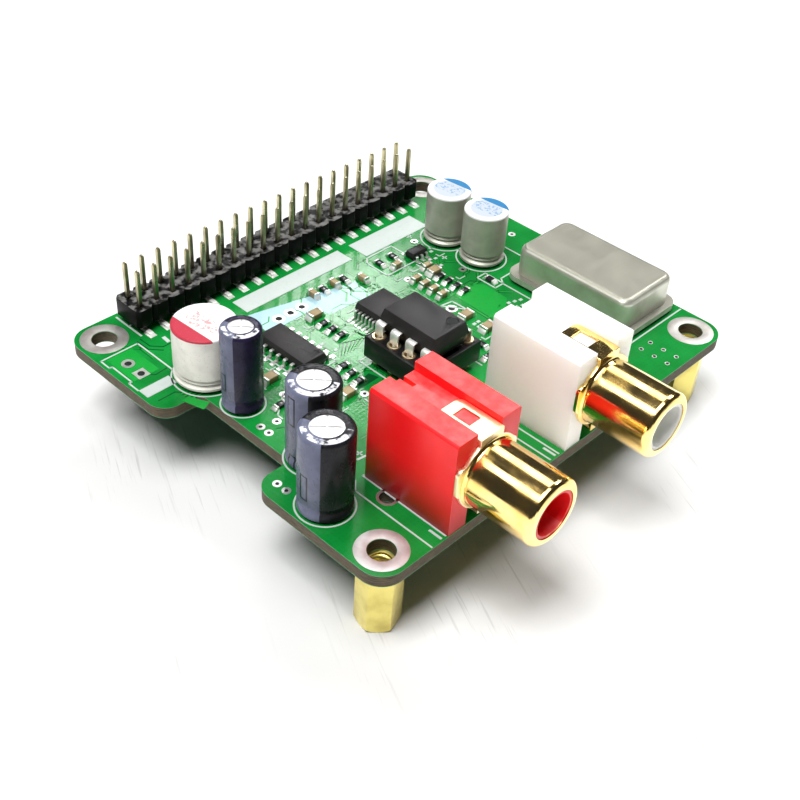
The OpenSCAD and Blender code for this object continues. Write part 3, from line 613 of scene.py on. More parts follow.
class Finish(Enum):
    """The finishes that pieces and nodes choose from."""

    GOLD = Metal("gold_plate", (1.0, 0.73, 0.29), (0.94, 0.62, 0.19), 0.12, (1, 0.2, 1), 0.5, 0.003)
    SATIN = Metal("satin_gold", (1.0, 0.84, 0.56), (0.96, 0.74, 0.40), 0.4, (1, 0.3, 1), 0.4, 0.004)
    # Pins darker towards their foot: a painted reflection of the black strip, painted shade.
    PIN = Metal("pin_plate", (0.56, 0.52, 0.33), (0.30, 0.27, 0.16), 0.3, (1, 1, 0.15), 0.3, 0.004, 0.9,
                painted_foot_shade=(3.5, 10.0))
    BRASS = Metal("brass", (0.66, 0.57, 0.18), (0.51, 0.42, 0.12), 0.36, (1, 1, 0.1), 0.4)
    TIN = Metal("tinned_lead", (0.80, 0.80, 0.78), (0.60, 0.58, 0.56), 0.36, (1, 1, 1), 0.3)
    SOLDER = Metal("solder", (0.93, 0.93, 0.90), (0.72, 0.71, 0.66), 0.42, (1, 1, 1), 0.25, 0.01, 0.6)
    RING = Metal("tinned_ring", (0.44, 0.43, 0.40), (0.30, 0.27, 0.25), 0.5, (1, 1, 1), 0.3, 0.012, 0.8)
    # The same tin as the other rings, painted brighter: a painted highlight.
    PAINTED_LIT_RING = Metal("ring_painted_highlight", (0.64, 0.64, 0.63), (0.46, 0.40, 0.38), 0.5, (1, 1, 1), 0.3, 0.012, 0.8)
    WIRE = Metal("tinned_wire", (0.80, 0.80, 0.80), (0.64, 0.64, 0.64), 0.35)
    # Its lid is painted darker than its side: painted shade.
    NICKEL = Metal("nickel_can", (0.58, 0.58, 0.50), (0.47, 0.46, 0.38), 0.4, (0.2, 1, 1), 0.5, 0.003, 0.7,
                   painted_lid_shade=0.59)
    BARE = Metal("bare_can", (0.74, 0.74, 0.74), (0.62, 0.62, 0.62), 0.4, (1, 1, 1), 0.25)
    # Pale pink patches on its top are painted sheen; its side darkens towards the foot as painted shade.
    RED = Moulding("red_plastic", (0.90, 0.007, 0.010), (0.80, 0.005, 0.008), 0.36, scuff=0.2,
                   scuff_colour=(0.75, 0.14, 0.13), sheen=0.45, painted_sheen=0.18, painted_sheen_colour=(0.9, 0.42, 0.40),
                   painted_sheen_spread=(0.2, 0.75), painted_sheen_size=1.0, painted_foot_shade=(1.5, 8.0))
    WHITE = Moulding("white_plastic", (0.97, 1.0, 0.91), (0.95, 0.98, 0.87), 0.36, scuff=0.05,
                     scuff_colour=(0.9, 0.9, 0.85), sheen=0.4, depth_of_light=4.0)
    BLACK = Moulding("black_plastic", (0.006, 0.006, 0.006), (0.011, 0.011, 0.011), 0.34, scuff=0.06,
                     sheen=0.28)
    # Grey patches on its top are painted sheen: a painted reflection of the bright room.
    SHEENED_BLACK = Moulding("black_plastic_painted_sheen", (0.003, 0.003, 0.003), (0.005, 0.005, 0.005), 0.34, scuff=0.05,
                     sheen=0.06, painted_sheen=0.55)
    EPOXY = Moulding("moulded_epoxy", (0.012, 0.011, 0.012), (0.02, 0.018, 0.018), 0.42, skin=0.09,
                     depth=0.012, sheen=0.3)
    RUBBER = Moulding("seal_rubber", (0.012, 0.012, 0.012), (0.02, 0.02, 0.02), 0.7)
    RESISTOR = Moulding("resistor_body", (0.008, 0.008, 0.010), (0.014, 0.014, 0.018), 0.2, sheen=0.5)
    CERAMIC = Moulding("ceramic_body", (0.33, 0.26, 0.14), (0.22, 0.16, 0.08), 0.4)
    LAMINATE = Laminate()
    SILK = Print("white_print", (0.42, 0.465, 0.445), (0.34, 0.43, 0.39))
    PALE = Print("pale_print", (0.30, 0.46, 0.52), (0.24, 0.42, 0.42), 0.3)
    TRACE = Print("trace_mask", (0.006, 0.25, 0.030), (0.005, 0.20, 0.028), 0.24)
    CLEAR = Print("clearance_mask", (0.002, 0.05, 0.012), (0.003, 0.07, 0.018), 0.24)
    # Near black discs: painted shade of holes and of the dimple.
    HOLE_SHADE = Print("painted_hole_shade", (0.003, 0.006, 0.005), (0.005, 0.01, 0.008), 0.6)
    TABLE = Tabletop()


AnyFinish = Finish | SleeveFilm | PrintedCan

_made: dict[str, bpy.types.Material] = {}


def material(finish: AnyFinish) -> bpy.types.Material:
    """The material of a finish, made once.

    Args:
        finish: The finish.

    Returns:
        Its material.
    """
    kind = finish.value if isinstance(finish, Finish) else finish
    if kind.name not in _made:
        _made[kind.name] = kind.make()
    return _made[kind.name]


# Shapes


class Shape:
    """A mesh under construction, in millimetres in the board's frame."""

    def __init__(self) -> None:
        """Starts empty."""
        self.bm = bmesh.new()

    def box(self, low: Sequence[float], high: Sequence[float], turn: float = 0.0) -> list[bmesh.types.BMVert]:
        """Adds a block between two corners, turned about its own upright axis.

        Args:
            low: Lowest corner.
            high: Highest corner.
            turn: Degrees about Z.

        Returns:
            The new vertices.
        """
        middle = [(a + b) / 2 for a, b in zip(low, high)]
        size = [b - a for a, b in zip(low, high)]
        place = Matrix.Translation(middle) @ Matrix.Rotation(math.radians(turn), 4, "Z")
        made = bmesh.ops.create_cube(self.bm, size=1.0, matrix=place @ Matrix.Diagonal((*size, 1.0)))
        return made["verts"]

    def lathe(self, profile: Sequence[Point], centre: Sequence[float], steps: int) -> None:
        """Spins a closed profile of radius and height about an upright axis.

        Args:
            profile: Points in order round the section.
            centre: Place of the axis, with the level that heights start from.
            steps: Steps of the full turn.
        """
        cx, cy, cz = centre
        before = set(self.bm.verts)
        verts = [self.bm.verts.new((cx + r, cy, cz + h)) for r, h in profile]
        edges = [self.bm.edges.new((a, b)) for a, b in zip(verts, verts[1:] + verts[:1])]
        bmesh.ops.spin(self.bm, geom=verts + edges, cent=(cx, cy, 0), axis=(0, 0, 1),
                       angle=2 * math.pi, steps=steps, use_merge=True)
        made = [v for v in self.bm.verts if v not in before]
        bmesh.ops.remove_doubles(self.bm, verts=made, dist=1e-4)

    def plate(self, corners: Sequence[Point], low: float, high: float) -> None:
        """Adds a flat plate.

        Args:
            corners: Its corners in order.
            low: Level of its underside.
            high: Level of its top.
        """
        face = self.bm.faces.new([self.bm.verts.new((x, y, low)) for x, y in corners])
        made = bmesh.ops.extrude_face_region(self.bm, geom=[face])
        lifted = [v for v in made["geom"] if isinstance(v, bmesh.types.BMVert)]
        bmesh.ops.translate(self.bm, vec=(0, 0, high - low), verts=lifted)

    def ring(self, centre: Point, inner: float, outer: float, low: float, high: float,
             steps: int = 32) -> None:
        """Adds a flat washer.

        Args:
            centre: Its centre.
            inner: Radius of its hole.
            outer: Radius of its rim.
            low: Level of its underside.
            high: Level of its top.
            steps: Steps of the full turn.
        """
        self.lathe([(inner, low), (outer, low), (outer, high), (inner, high)], (*centre, 0.0), steps)

    def disc(self, centre: Point, radius: float, low: float, high: float, steps: int = 20) -> None:
        """Adds a closed round plate.

        Args:
            centre: Its centre.
            radius: Its radius.
            low: Level of its underside.
            high: Level of its top.
            steps: Corners of its outline.
        """
        place = Matrix.Translation((*centre, (low + high) / 2))
        bmesh.ops.create_cone(self.bm, cap_ends=True, segments=steps, radius1=radius, radius2=radius,
                              depth=high - low, matrix=place)

    def path(self, points: Sequence[Point], width: float, low: float, high: float) -> None:
        """Adds a flat ribbon along points, with round joints.

        Args:
            points: Corners of the ribbon's middle line.
            width: Width of the ribbon.
            low: Level of its underside.
            high: Level of its top.
        """
        for (ax, ay), (bx, by) in zip(points, points[1:]):
            length = math.hypot(bx - ax, by - ay)
            mx, my = (ax + bx) / 2, (ay + by) / 2
            half = length / 2
            self.box((mx - half, my - width / 2, low), (mx + half, my + width / 2, high),
                     math.degrees(math.atan2(by - ay, bx - ax)))
        for point in points[1:-1]:
            self.disc(point, width / 2, low, high, 10)

    def wedge(self, low: Sequence[float], high: Sequence[float], side: Point, toe: float = 0.06) -> None:
        """Adds a solder wedge: a block whose top edge is pulled down on one side.

        Args:
            low: Lowest corner.
            high: Highest corner.
            side: Direction of the side that is pulled down.
            toe: Height that is left on that side.
        """
        verts = self.box(low, high)
        top = max(v.co.z for v in verts)
        middle = [(a + b) / 2 for a, b in zip(low, high)]
        for v in verts:
            reach = (v.co.x - middle[0]) * side[0] + (v.co.y - middle[1]) * side[1]
            if abs(v.co.z - top) < 1e-6 and reach > 0:
                v.co.z = low[2] + toe

    def finish(self, name: str, finish: AnyFinish, slot: str,
               bevel: float = 0.0, smooth: float = 35.0) -> bpy.types.Object:
        """Turns the shape into a finished piece that rides on the board.

        Args:
            name: Name of the piece.
            finish: Its finish.
            slot: Not used.
            bevel: Width of the rounding on its sharp edges.
            smooth: Edges flatter than this many degrees are shaded smooth.

        Returns:
            The piece.
        """
        if bevel:
            bevel_edges(self.bm, bevel, smooth)
        bmesh.ops.recalc_face_normals(self.bm, faces=self.bm.faces[:])
        bmesh.ops.scale(self.bm, vec=(MM, MM, MM), verts=self.bm.verts[:])
        mesh = bpy.data.meshes.new(name)
        self.bm.to_mesh(mesh)
        self.bm.free()
        return settle(mesh, name, finish, smooth)


class Ink(Shape):
    """Print under construction: lines and blocks at one level of the board."""

    def __init__(self, high: float, width: float) -> None:
        """Starts empty.

        Args:
            high: Level of the print's top.
            width: Usual width of a line.
        """
        super().__init__()
        self.high = high
        self.width = width

    def line(self, *points: Point, width: float | None = None) -> None:
        """Adds a line through points, of the usual width if none is given."""
        self.path(points, width or self.width, BASE, self.high)

    def block(self, low: Point, high: Point) -> None:
        """Adds a filled block between two corners."""
        self.box((*low, BASE), (*high, self.high))

    def circle(self, centre: Point, radius: float) -> None:
        """Adds a round outline."""
        self.ring(centre, radius - self.width / 2, radius + self.width / 2, BASE, self.high, 56)


def bevel_edges(bm: bmesh.types.BMesh, width: float, sharp: float, segments: int = 2) -> None:
    """Rounds the sharp edges of a mesh.

    Args:
        bm: The mesh.
        width: Width of the rounding, in the mesh's units.
        sharp: Edges above this many degrees are rounded.
        segments: Steps across the rounding.
    """
    limit = math.radians(sharp)
    edges = [e for e in bm.edges if len(e.link_faces) == 2 and e.calc_face_angle(0) > limit]
    bmesh.ops.bevel(bm, geom=edges, offset=width, offset_type="OFFSET", segments=segments, profile=0.5,
                    affect="EDGES", clamp_overlap=True, material=-1)


def settle(mesh: bpy.types.Mesh, name: str, finish: AnyFinish,
           smooth: float) -> bpy.types.Object:
    """Makes a piece of a mesh: its material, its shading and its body.

    Args:
        mesh: The mesh, in metres.
        name: Name of the piece.
        finish: Its finish.
        smooth: Edges flatter than this many degrees are shaded smooth.

    Returns:
        The piece.
    """
    mesh.materials.clear()
    mesh.materials.append(material(finish))
    mesh.shade_smooth()
    mesh.set_sharp_from_angle(angle=math.radians(smooth))
    piece = bpy.data.objects.new(name, mesh)
    bpy.context.scene.collection.objects.link(piece)
    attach(piece, BODY)
    log.info("piece %s: %d faces", name, len(mesh.polygons))
    return piece


def merged_copy(node: str) -> bmesh.types.BMesh:
    """A copy of a node's solid, with its doubled vertices merged.

    Args:
        node: Name of the node.

    Returns:
        The copy, in metres.
    """
    bm = bmesh.new()
    bm.from_mesh(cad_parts[node].data)
    bmesh.ops.remove_doubles(bm, verts=bm.verts[:], dist=1e-6)
    return bm


def stand_in(bm: bmesh.types.BMesh, node: str, ending: str, finish: AnyFinish,
             smooth: float) -> None:
    """Replaces a node by a piece made of a changed copy of its solid.

    Args:
        bm: The changed copy, which is freed.
        node: Name of the node.
        ending: What the piece's name adds to the node's.
        finish: Finish of the piece.
        smooth: Edges flatter than this many degrees are shaded smooth.
    """
    name = f"{node}_{ending}"
    mesh = bpy.data.meshes.new(name)
    bm.to_mesh(mesh)
    bm.free()
    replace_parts(settle(mesh, name, finish, smooth), node)


def rounded_copy(node: str, finish: Finish, bevel: float, segments: int = 2) -> None:
    """Replaces a node by a copy of its solid with rounded edges.

    Args:
        node: Name of the node.
        finish: Finish of the copy.
        bevel: Width of the rounding, in millimetres.
        segments: Steps across the rounding.
    """
    bm = merged_copy(node)
    bmesh.ops.dissolve_limit(bm, angle_limit=math.radians(0.5), verts=bm.verts[:], edges=bm.edges[:])
    bevel_edges(bm, bevel * MM, SHARP, segments)
    stand_in(bm, node, "rounded", finish, SHARP)


def paint(node: str, finish: AnyFinish) -> None:
    """Gives a node its finish.

    Args:
        node: Name of the node.
        finish: Its finish.
    """
    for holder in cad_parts[node].material_slots:
        holder.material = material(finish)
    log.info("node %s: %s", node, material(finish).name)


# Sub-assemblies


@dataclass
class Board:
    """The laminate with its rings, pads, traces and print."""

    hole_x: float = 29.0
    hole_y: float = 24.5
    ring_inner: float = 1.62
    ring_outer: float = 3.05
    copper: float = 0.05
    copper_under: float = 0.051
    shade_disc_rise: float = 0.03
    square_shade_disc_rise: float = 0.054
    pour: float = 0.012
    trace: float = 0.018
    clearance: float = 0.008
    split: float = 0.016
    clear_patch: float = 0.014
    label: float = 0.016
    print_high: float = 0.05
    clear_gap: float = 0.22
    split_line: float = 0.16
    line: float = 0.2
    bracket: Point = (1.1, 0.7)
    bracket_line: float = 0.16
    plus: float = 0.45
    plus_line: float = 0.18
    dot: float = 0.26
    dot_line: float = 0.42
    via_outer: float = 0.55
    via_inner: float = 0.24
    stitch_outer: float = 0.31
    lead_inner: float = 0.45
    leg_inner: float = 0.95
    leg_outer: float = 1.3
    trace_seed: int = 11
    trace_count: int = 110
    trace_starts: tuple[Span, Span] = ((-21, 19), (-11, 16))
    trace_bounds: tuple[Span, Span] = ((-22, 20), (-14, 17))
    vias: list[Point] = field(default_factory=lambda: [
        (-25.5, -1.2), (-25.5, -2.65), (-23.5, -1.75), (-30.4, -9.65), (-30.4, -11.15),
        *[(x, y) for x in (20.7, 22.75) for y in (-22.45, -24.5, -26.5)],
        (9.35, 8.5), (-12.3, -5.0), (14.6, -9.6), (16.2, -12.4), (17.0, 14.6), (-9.2, -7.6),
        (-16.6, -3.2), (-19.6, 1.4), (12.2, -13.2), (-9.0, -11.9), (16.9, 5.2), (29.2, 6.6),
    ])
    lead_holes: list[tuple[Point, float]] = field(default_factory=lambda: [
        *[((-7.86 + 2 * k, 13.3), 0.86) for k in (-1, 0, 1)], ((-29.8, 18.47), 0.85), ((8.8, -0.1), 0.8),
    ])
    square_pad: tuple[Point, Point] = ((-30.6, 15.08), (-28.95, 16.68))
    square_hole: Point = (-29.78, 15.86)
    jack_legs: list[Point] = field(default_factory=lambda: [
        (x + 5.5 * s, -19.4) for x in (-17.45, 2.65) for s in (-1, 1)
    ])
    pour_areas: list[list[Point]] = field(default_factory=lambda: [
        [(11.4, 1.8), (15.1, 2.0), (16.4, 0.8), (16.3, -3.4), (13.8, -5.2), (11.3, -5.2)],
        [(-31.3, 15.2), (-27.6, 15.2), (-27.6, 20.8), (-31.3, 20.8)],
        [(-29.3, 8.6), (-28.2, 8.6), (-27.0, 6.2), (-28.4, 5.6)],
    ])
    clear_area: list[Point] = field(default_factory=lambda: [
        (-11.8, -3.0), (-9.1, -2.5), (-8.7, -3.9), (-12.3, -4.0),
    ])
    pale_corners: list[Point] = field(default_factory=lambda: [
        (-12.4, 16.5), (-10.4, 16.1), (-4.85, 14.75), (3.6, 12.9), (3.2, 9.3), (-4.1, 9.6),
        (-5.0, 12.0), (-12.9, 11.8),
    ])
    split_lines: list[list[Point]] = field(default_factory=lambda: [
        [(-29.16, 15.1), (-28.57, 14.6), (-26.74, 14.73)],
        [(-25.7, 21.6), (-25.65, 19.6), (-24.5, 18.4), (-22.6, 18.4)],
        [(-26.3, 21.4), (-26.2, 19.2), (-24.9, 17.8)],
        [(-24.3, -2.6), (-22.0, -4.0), (-21.0, -6.4)],
        [(10.9, 2.6), (15.6, 2.7), (18.1, -0.2)],
        [(8.9, -9.6), (12.6, -9.6), (14.0, -11.4)],
        [(-31.4, 10.4), (-28.9, 10.4), (-28.1, 9.6)],
    ])
    capacitor_rings: list[tuple[Point, float]] = field(default_factory=lambda: [
        ((-28.75, -15.6), 3.4), ((-24.55, -9.1), 3.4), ((-24.25, 3.4), 2.7), ((-23.95, 10.5), 4.3),
        ((21.15, 12.4), 3.55), ((21.15, 5.5), 3.55),
    ])
    labels: list[tuple[Point, Point]] = field(default_factory=lambda: [
        ((-12.0, 17.05), (7.0, 20.05)), ((9.1, 16.3), (21.5, 19.95)), ((-31.95, 11.65), (-27.6, 13.4)),
    ])
    outlines: list[list[Point]] = field(default_factory=lambda: [
        [(-32.0, 13.4), (-32.0, 15.3), (-31.6, 15.3), (-31.6, 19.2), (-32.0, 19.2), (-32.0, 21.0),
         (-26.5, 21.0), (-26.5, 13.8)],
        [(25.8, 5.4), (25.8, 1.6)],
        [(-19.5, 1.6), (-22.7, -1.0), (-22.7, -1.9)],
        [(-24.85, -27.9), (-24.85, -16.3), (-23.6, -15.0)],
        [(-22.55, -27.75), (-22.55, -15.1), (-22.3, -15.1)],
        [(-4.75, -27.8), (-4.75, -15.2), (-2.6, -15.2)],
        [(-3.2, -27.8), (-3.2, -15.6)],
        [(7.9, -27.8), (7.9, -15.2), (-2.4, -15.2)],
        [(-12.2, -27.8), (-12.2, -15.1)],
        [(18.5, -20.8), (18.5, -0.8), (19.3, 0.2), (32.2, 0.2)],
        [(18.5, -20.8), (32.2, -20.8)],
        [(8.8, 15.9), (13.6, 15.9), (13.6, 11.0), (7.9, 11.0), (7.9, 15.0), (8.8, 15.9)],
        [(8.2, 1.3), (10.1, 1.0), (10.2, -1.6), (8.2, 1.3)],
        [(16.9, 2.5), (18.6, 2.5), (18.6, -0.8), (16.9, -0.8), (16.9, 2.5)],
        [(-16.4, 11.6), (-10.4, 11.6), (-10.4, 2.0), (-16.4, 2.0), (-16.4, 11.6)],
        [(-2.3, 8.3), (4.3, 8.3)],
        [(-8.3, -10.9), (-8.3, 0.0), (2.6, 0.0), (2.6, -10.9)],
    ])
    bars: list[tuple[float, Point, Point]] = field(default_factory=lambda: [
        (0.26, (-25.2, 27.3), (-25.2, 21.9)), (0.26, (-25.2, 24.7), (-24.6, 24.7)),
        (0.5, (-23.3, 20.0), (-23.4, 18.7)), (0.3, (-21.2, -12.8), (-19.9, -13.0)),
        (0.3, (-23.2, -27.7), (-23.2, -25.9)), (0.3, (-3.75, -27.7), (-3.75, -25.9)),
    ])
    brackets: list[Point] = field(default_factory=lambda: [
        (12.9, 9.6), (11.2, 9.3), (8.0, 9.2), (-8.4, 11.6), (-8.6, 9.2), (-12.6, -1.2), (-17.9, 6.0),
        (-16.6, -5.6), (6.6, -3.8), (7.0, -7.6), (-13.0, -6.4), (16.9, 9.6), (-19.9, -1.6), (-19.0, -5.8),
        (10.8, -8.4), (14.8, 3.9),
    ])
    pluses: list[Point] = field(default_factory=lambda: [
        (-20.2, -12.2), (-20.6, 3.9), (-19.2, 13.0), (17.2, 8.9), (17.4, 16.0),
    ])
    dots: list[Point] = field(default_factory=lambda: [
        (15.6, -4.3), (16.5, -4.6), (17.4, -4.9), (15.7, -5.6), (16.6, -5.9), (8.5, -4.4), (9.3, -4.4),
        (8.5, -5.2), (9.3, -5.2), (15.3, 9.9), (16.1, 9.6), (16.9, 11.2), (17.5, 11.9), (15.4, 7.9),
        (-17.6, 9.4), (-18.4, 8.6), (-8.9, 3.6), (-9.4, 5.6), (-5.2, 1.6), (-3.4, 1.6),
    ])

    def build(self) -> None:
        """Dresses the laminate and adds everything that lies on it."""
        paint("circuit_board", Finish.LAMINATE)
        self.rings()
        self.pads()
        self.painted_hole_shades()
        self.pours()
        self.traces()
        self.print_lines()
        self.pale_area()

    def rings(self) -> None:
        """The tinned rings round the four mounting holes, on both faces; the front one is painted brighter as
        a painted highlight.
        """
        dull, painted_bright = Shape(), Shape()
        for sx in (-1, 1):
            for sy in (-1, 1):
                shape = painted_bright if sx + sy == -2 else dull
                for low, high in ((BASE, BOARD_TOP + self.copper), (-self.copper_under, SUNK)):
                    shape.ring((sx * self.hole_x, sy * self.hole_y), self.ring_inner, self.ring_outer,
                               low, high, 64)
        dull.finish("mounting_rings", Finish.RING, "tinned_lead", bevel=0.02)
        painted_bright.finish("front_mounting_ring", Finish.PAINTED_LIT_RING, "tinned_lead", bevel=0.02)

    def pads(self) -> None:
        """Plated rings of the vias and of the open holes."""
        shape = Shape()
        high = BOARD_TOP + self.copper
        for at in self.vias:
            stitch = at[0] > 20 and at[1] < -20
            shape.ring(at, self.via_inner, self.stitch_outer if stitch else self.via_outer, BASE, high, 24)
        for at, outer in self.lead_holes:
            shape.ring(at, self.lead_inner, outer, BASE, high, 28)
        low_corner, high_corner = self.square_pad
        shape.box((*low_corner, BASE), (*high_corner, high))
        for at in self.jack_legs:
            shape.ring(at, self.leg_inner, self.leg_outer, BASE, high)
        shape.finish("plated_pads", Finish.TIN, "tinned_lead")

    def painted_hole_shades(self) -> None:
        """Dark discs on the mouths of the small vias and of the open holes: painted shade of the holes."""
        shape = Shape()
        high = BOARD_TOP + self.shade_disc_rise
        for at in self.vias:
            shape.disc(at, self.via_inner + SUNK, BASE, high)
        for at, _ in self.lead_holes:
            shape.disc(at, self.lead_inner + SUNK, BASE, high, 28)
        shape.disc(self.square_hole, self.lead_inner + SUNK, BOARD_TOP, BOARD_TOP + self.square_shade_disc_rise, 28)
        shape.finish("via_painted_shades", Finish.HOLE_SHADE, "laminate")

    def pours(self) -> None:
        """Copper areas under the mask, a little lighter than the bare laminate."""
        shape = Shape()
        for corners in self.pour_areas:
            shape.plate(corners, BASE, BOARD_TOP + self.pour)
        shape.finish("copper_pours", Finish.TRACE, "laminate")

    def traces(self) -> None:
        """Copper traces under the mask, as slightly raised ribbons with clear edges."""
        rng = random.Random(self.trace_seed)
        raised, clear = Shape(), Shape()
        for points, width in [*self.fixed_traces(), *self.wandering_traces(rng)]:
            raised.path(points, width, BASE, BOARD_TOP + self.trace)
            clear.path(points, width + self.clear_gap, BASE, BOARD_TOP + self.clearance)
        for points in self.split_lines:
            clear.path(points, self.split_line, BASE, BOARD_TOP + self.split)
        clear.plate(self.clear_area, BASE, BOARD_TOP + self.clear_patch)
        raised.finish("traces", Finish.TRACE, "laminate")
        clear.finish("trace_clearances", Finish.CLEAR, "laminate")

    def fixed_traces(self) -> list[tuple[list[Point], float]]:
        """Bundles that run between the chips, the header and the jacks.

        Returns:
            The points and the width of each trace.
        """
        fine, middle, wide = 0.22, 0.24, 0.3
        made: list[tuple[list[Point], float]] = []
        for step in (0.55 * k for k in range(6)):
            rise = 4.2 - 0.4 * step
            made.append(([(-9.6 + step, 2.2), (-7.4 + step, rise), (-3.2, rise + 0.2)], fine))
        for step in (0.5 * k for k in range(5)):
            left = step - 20.6
            made.append(([(left, 20.2), (left, 16.2 - step), (left + 1.7, 14.4 - step)], fine))
        for k in range(4):
            left, right = 9.6 - 0.5 * k, 6.6 - 0.65 * k
            made.append(([(-28.6, left), (-26.4, left), (-25.2, left - 1.2)], middle))
            made.append(([(4.4, right), (6.4, right), (8.0, right - 0.4)], fine))
        made.append(([(11.0, -1.3), (10.9, -5.5), (13.4, -8.0), (17.4, -8.0)], wide))
        made.append(([(12.2, -1.6), (16.6, -1.6), (18.0, -3.0)], wide))
        made.append(([(-28.4, 21.6), (-26.8, 20.0), (-26.8, 17.2)], middle))
        return made

    def wandering_traces(self, rng: random.Random) -> list[tuple[list[Point], float]]:
        """Short traces with 45 degree turns over the busy middle of the board.

        Args:
            rng: Source of the random draws.

        Returns:
            The points and the width of each trace.
        """
        steps = [(1, 0), (1, 1), (0, 1), (-1, 1), (-1, 0), (-1, -1), (0, -1), (1, -1)]
        (left, right), (front, rear) = self.trace_bounds
        made = []
        for _ in range(self.trace_count):
            x, y = (rng.uniform(*span) for span in self.trace_starts)
            heading = rng.randrange(8)
            points = [(x, y)]
            for _ in range(rng.randint(2, 4)):
                length = rng.uniform(0.7, 2.6)
                dx, dy = steps[heading % 8]
                scale = length / math.hypot(dx, dy)
                x, y = x + dx * scale, y + dy * scale
                points.append((x, y))
                heading += rng.choice((-1, 1))
            if all(left < px < right and front < py < rear for px, py in points):
                made.append((points, rng.choice((0.18, 0.22, 0.3))))
        return made

    def print_lines(self) -> None:
        """White print: outlines, labels left blank and marks."""
        ink = Ink(BOARD_TOP + self.print_high, self.line)
        for at, radius in self.capacitor_rings:
            ink.circle(at, radius)
        for low, high in self.labels:
            ink.block(low, high)
        for points in self.outlines:
            ink.line(*points)
        for width, start, stop in self.bars:
            ink.line(start, stop, width=width)
        self.part_marks(ink)
        ink.finish("white_print", Finish.SILK, "laminate")

    def part_marks(self, ink: Ink) -> None:
        """Small brackets, plus signs, dashes and dots beside parts, in place of their printed names.

        Args:
            ink: The print that they are added to.
        """
        wide, high = self.bracket
        for x, y in self.brackets:
            for end in ((x + wide, y), (x, y + high)):
                ink.line((x, y), end, width=self.bracket_line)
        for x, y in self.pluses:
            for dx, dy in ((self.plus, 0), (0, self.plus)):
                ink.line((x - dx, y - dy), (x + dx, y + dy), width=self.plus_line)
        for k in range(7):
            x, y = -12.4 - 0.75 * k, -7.5 - 0.62 * k
            ink.line((x, y), (x + 0.4, y - 0.4))
        for k in range(5):
            ink.line((13.5 + 0.7 * k, -26.8), (13.5 + 0.7 * k, -26.2))
        for x, y in self.dots:
            ink.line((x - self.dot, y), (x + self.dot, y), width=self.dot_line)

    def pale_area(self) -> None:
        """The pale label area between the header's print and the converter."""
        shape = Shape()
        shape.plate(self.pale_corners, BASE, BOARD_TOP + self.label)
        shape.finish("pale_label", Finish.PALE, "laminate")


@dataclass
class Header:
    """The pin header on top, the socket below, and their solder."""

    pitch: float = 2.54
    count: int = 20
    y: float = 24.5
    pin: float = 0.5
    pin_start: float = 0.4
    tip: float = 10.3
    taper: float = 0.35
    blunt: float = 0.6
    foot_start: float = 0.9
    foot_reach: float = 2.2
    pad: float = 1.0
    pad_high: float = 0.05
    pad_margin: float = 0.25
    pad_limit: float = 27.9
    fillet: float = 0.72
    fillet_length: float = 0.22
    fillet_low: float = 0.04
    fillet_high: float = 0.3
    board_edge: float = 28.0
    edge_gap: float = 0.02

    def xs(self) -> list[float]:
        """The places of the pins along the strip."""
        return [(k - (self.count - 1) / 2) * self.pitch for k in range(self.count)]

    def build(self) -> None:
        """Dresses the strips and builds the pointed pins and their solder."""
        rounded_copy("header_strip", Finish.SHEENED_BLACK, 0.07)
        rounded_copy("socket_strip", Finish.BLACK, 0.09)
        rounded_copy("header_feet", Finish.SOLDER, 0.05)
        paint("socket_contacts", Finish.PIN)
        self.pins()
        self.solder()

    def pins(self) -> None:
        """Square pins that taper on all four sides to a small flat tip."""
        shape = Shape()
        half = self.pin / 2
        for x in self.xs():
            for y in (self.y - self.pitch / 2, self.y + self.pitch / 2):
                low = (x - half, y - half, BOARD_TOP + self.pin_start)
                self.sharpen(shape, shape.box(low, (x + half, y + half, self.tip)), (x, y))
        piece = shape.finish("pointed_pins", Finish.PIN, "pin_plate", bevel=0.015, smooth=30)
        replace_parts(piece, "header_pins")

    def sharpen(self, shape: Shape, verts: list[bmesh.types.BMVert], at: Point) -> None:
        """Draws the top of a pin in to its tip.

        Args:
            shape: The shape that the pin is in.
            verts: The pin's vertices.
            at: Place of the pin.
        """
        top = [v for v in verts if v.co.z > self.tip - SUNK]
        caps = [f for f in {f for v in top for f in v.link_faces} if all(v in top for v in f.verts)]
        made = bmesh.ops.extrude_face_region(shape.bm, geom=caps)
        tips = [v for v in made["geom"] if isinstance(v, bmesh.types.BMVert)]
        bmesh.ops.translate(shape.bm, vec=(0, 0, -self.taper), verts=top)
        bmesh.ops.delete(shape.bm, geom=caps, context="FACES")
        axis = Matrix.Translation((-at[0], -at[1], 0))
        bmesh.ops.scale(shape.bm, vec=(self.blunt, self.blunt, 1), space=axis, verts=tips)

    def solder(self) -> None:
        """A tinned pad with a low fillet under each foot."""
        pads, fillets = Shape(), Shape()
        for x in self.xs():
            for s in (-1, 1):
                row = self.y + s * self.pitch / 2
                inner = row + s * self.foot_start
                outer = row + s * (self.foot_reach + self.pad_margin)
                low, high = min(inner, outer), min(max(inner, outer), self.pad_limit)
                pads.box((x - self.pad / 2, low, BASE), (x + self.pad / 2, high, BOARD_TOP + self.pad_high))
                end = row + s * self.foot_reach
                beyond = end + s * self.fillet_length
                if abs(beyond) + self.edge_gap < self.board_edge:
                    low_corner = (x - self.fillet / 2, min(end, beyond), BOARD_TOP + self.fillet_low)
                    high_corner = (x + self.fillet / 2, max(end, beyond), BOARD_TOP + self.fillet_high)
                    fillets.wedge(low_corner, high_corner, (0, s))
        pads.finish("header_pads", Finish.SOLDER, "tinned_lead", bevel=0.015)
        fillets.finish("header_fillets", Finish.SOLDER, "tinned_lead")


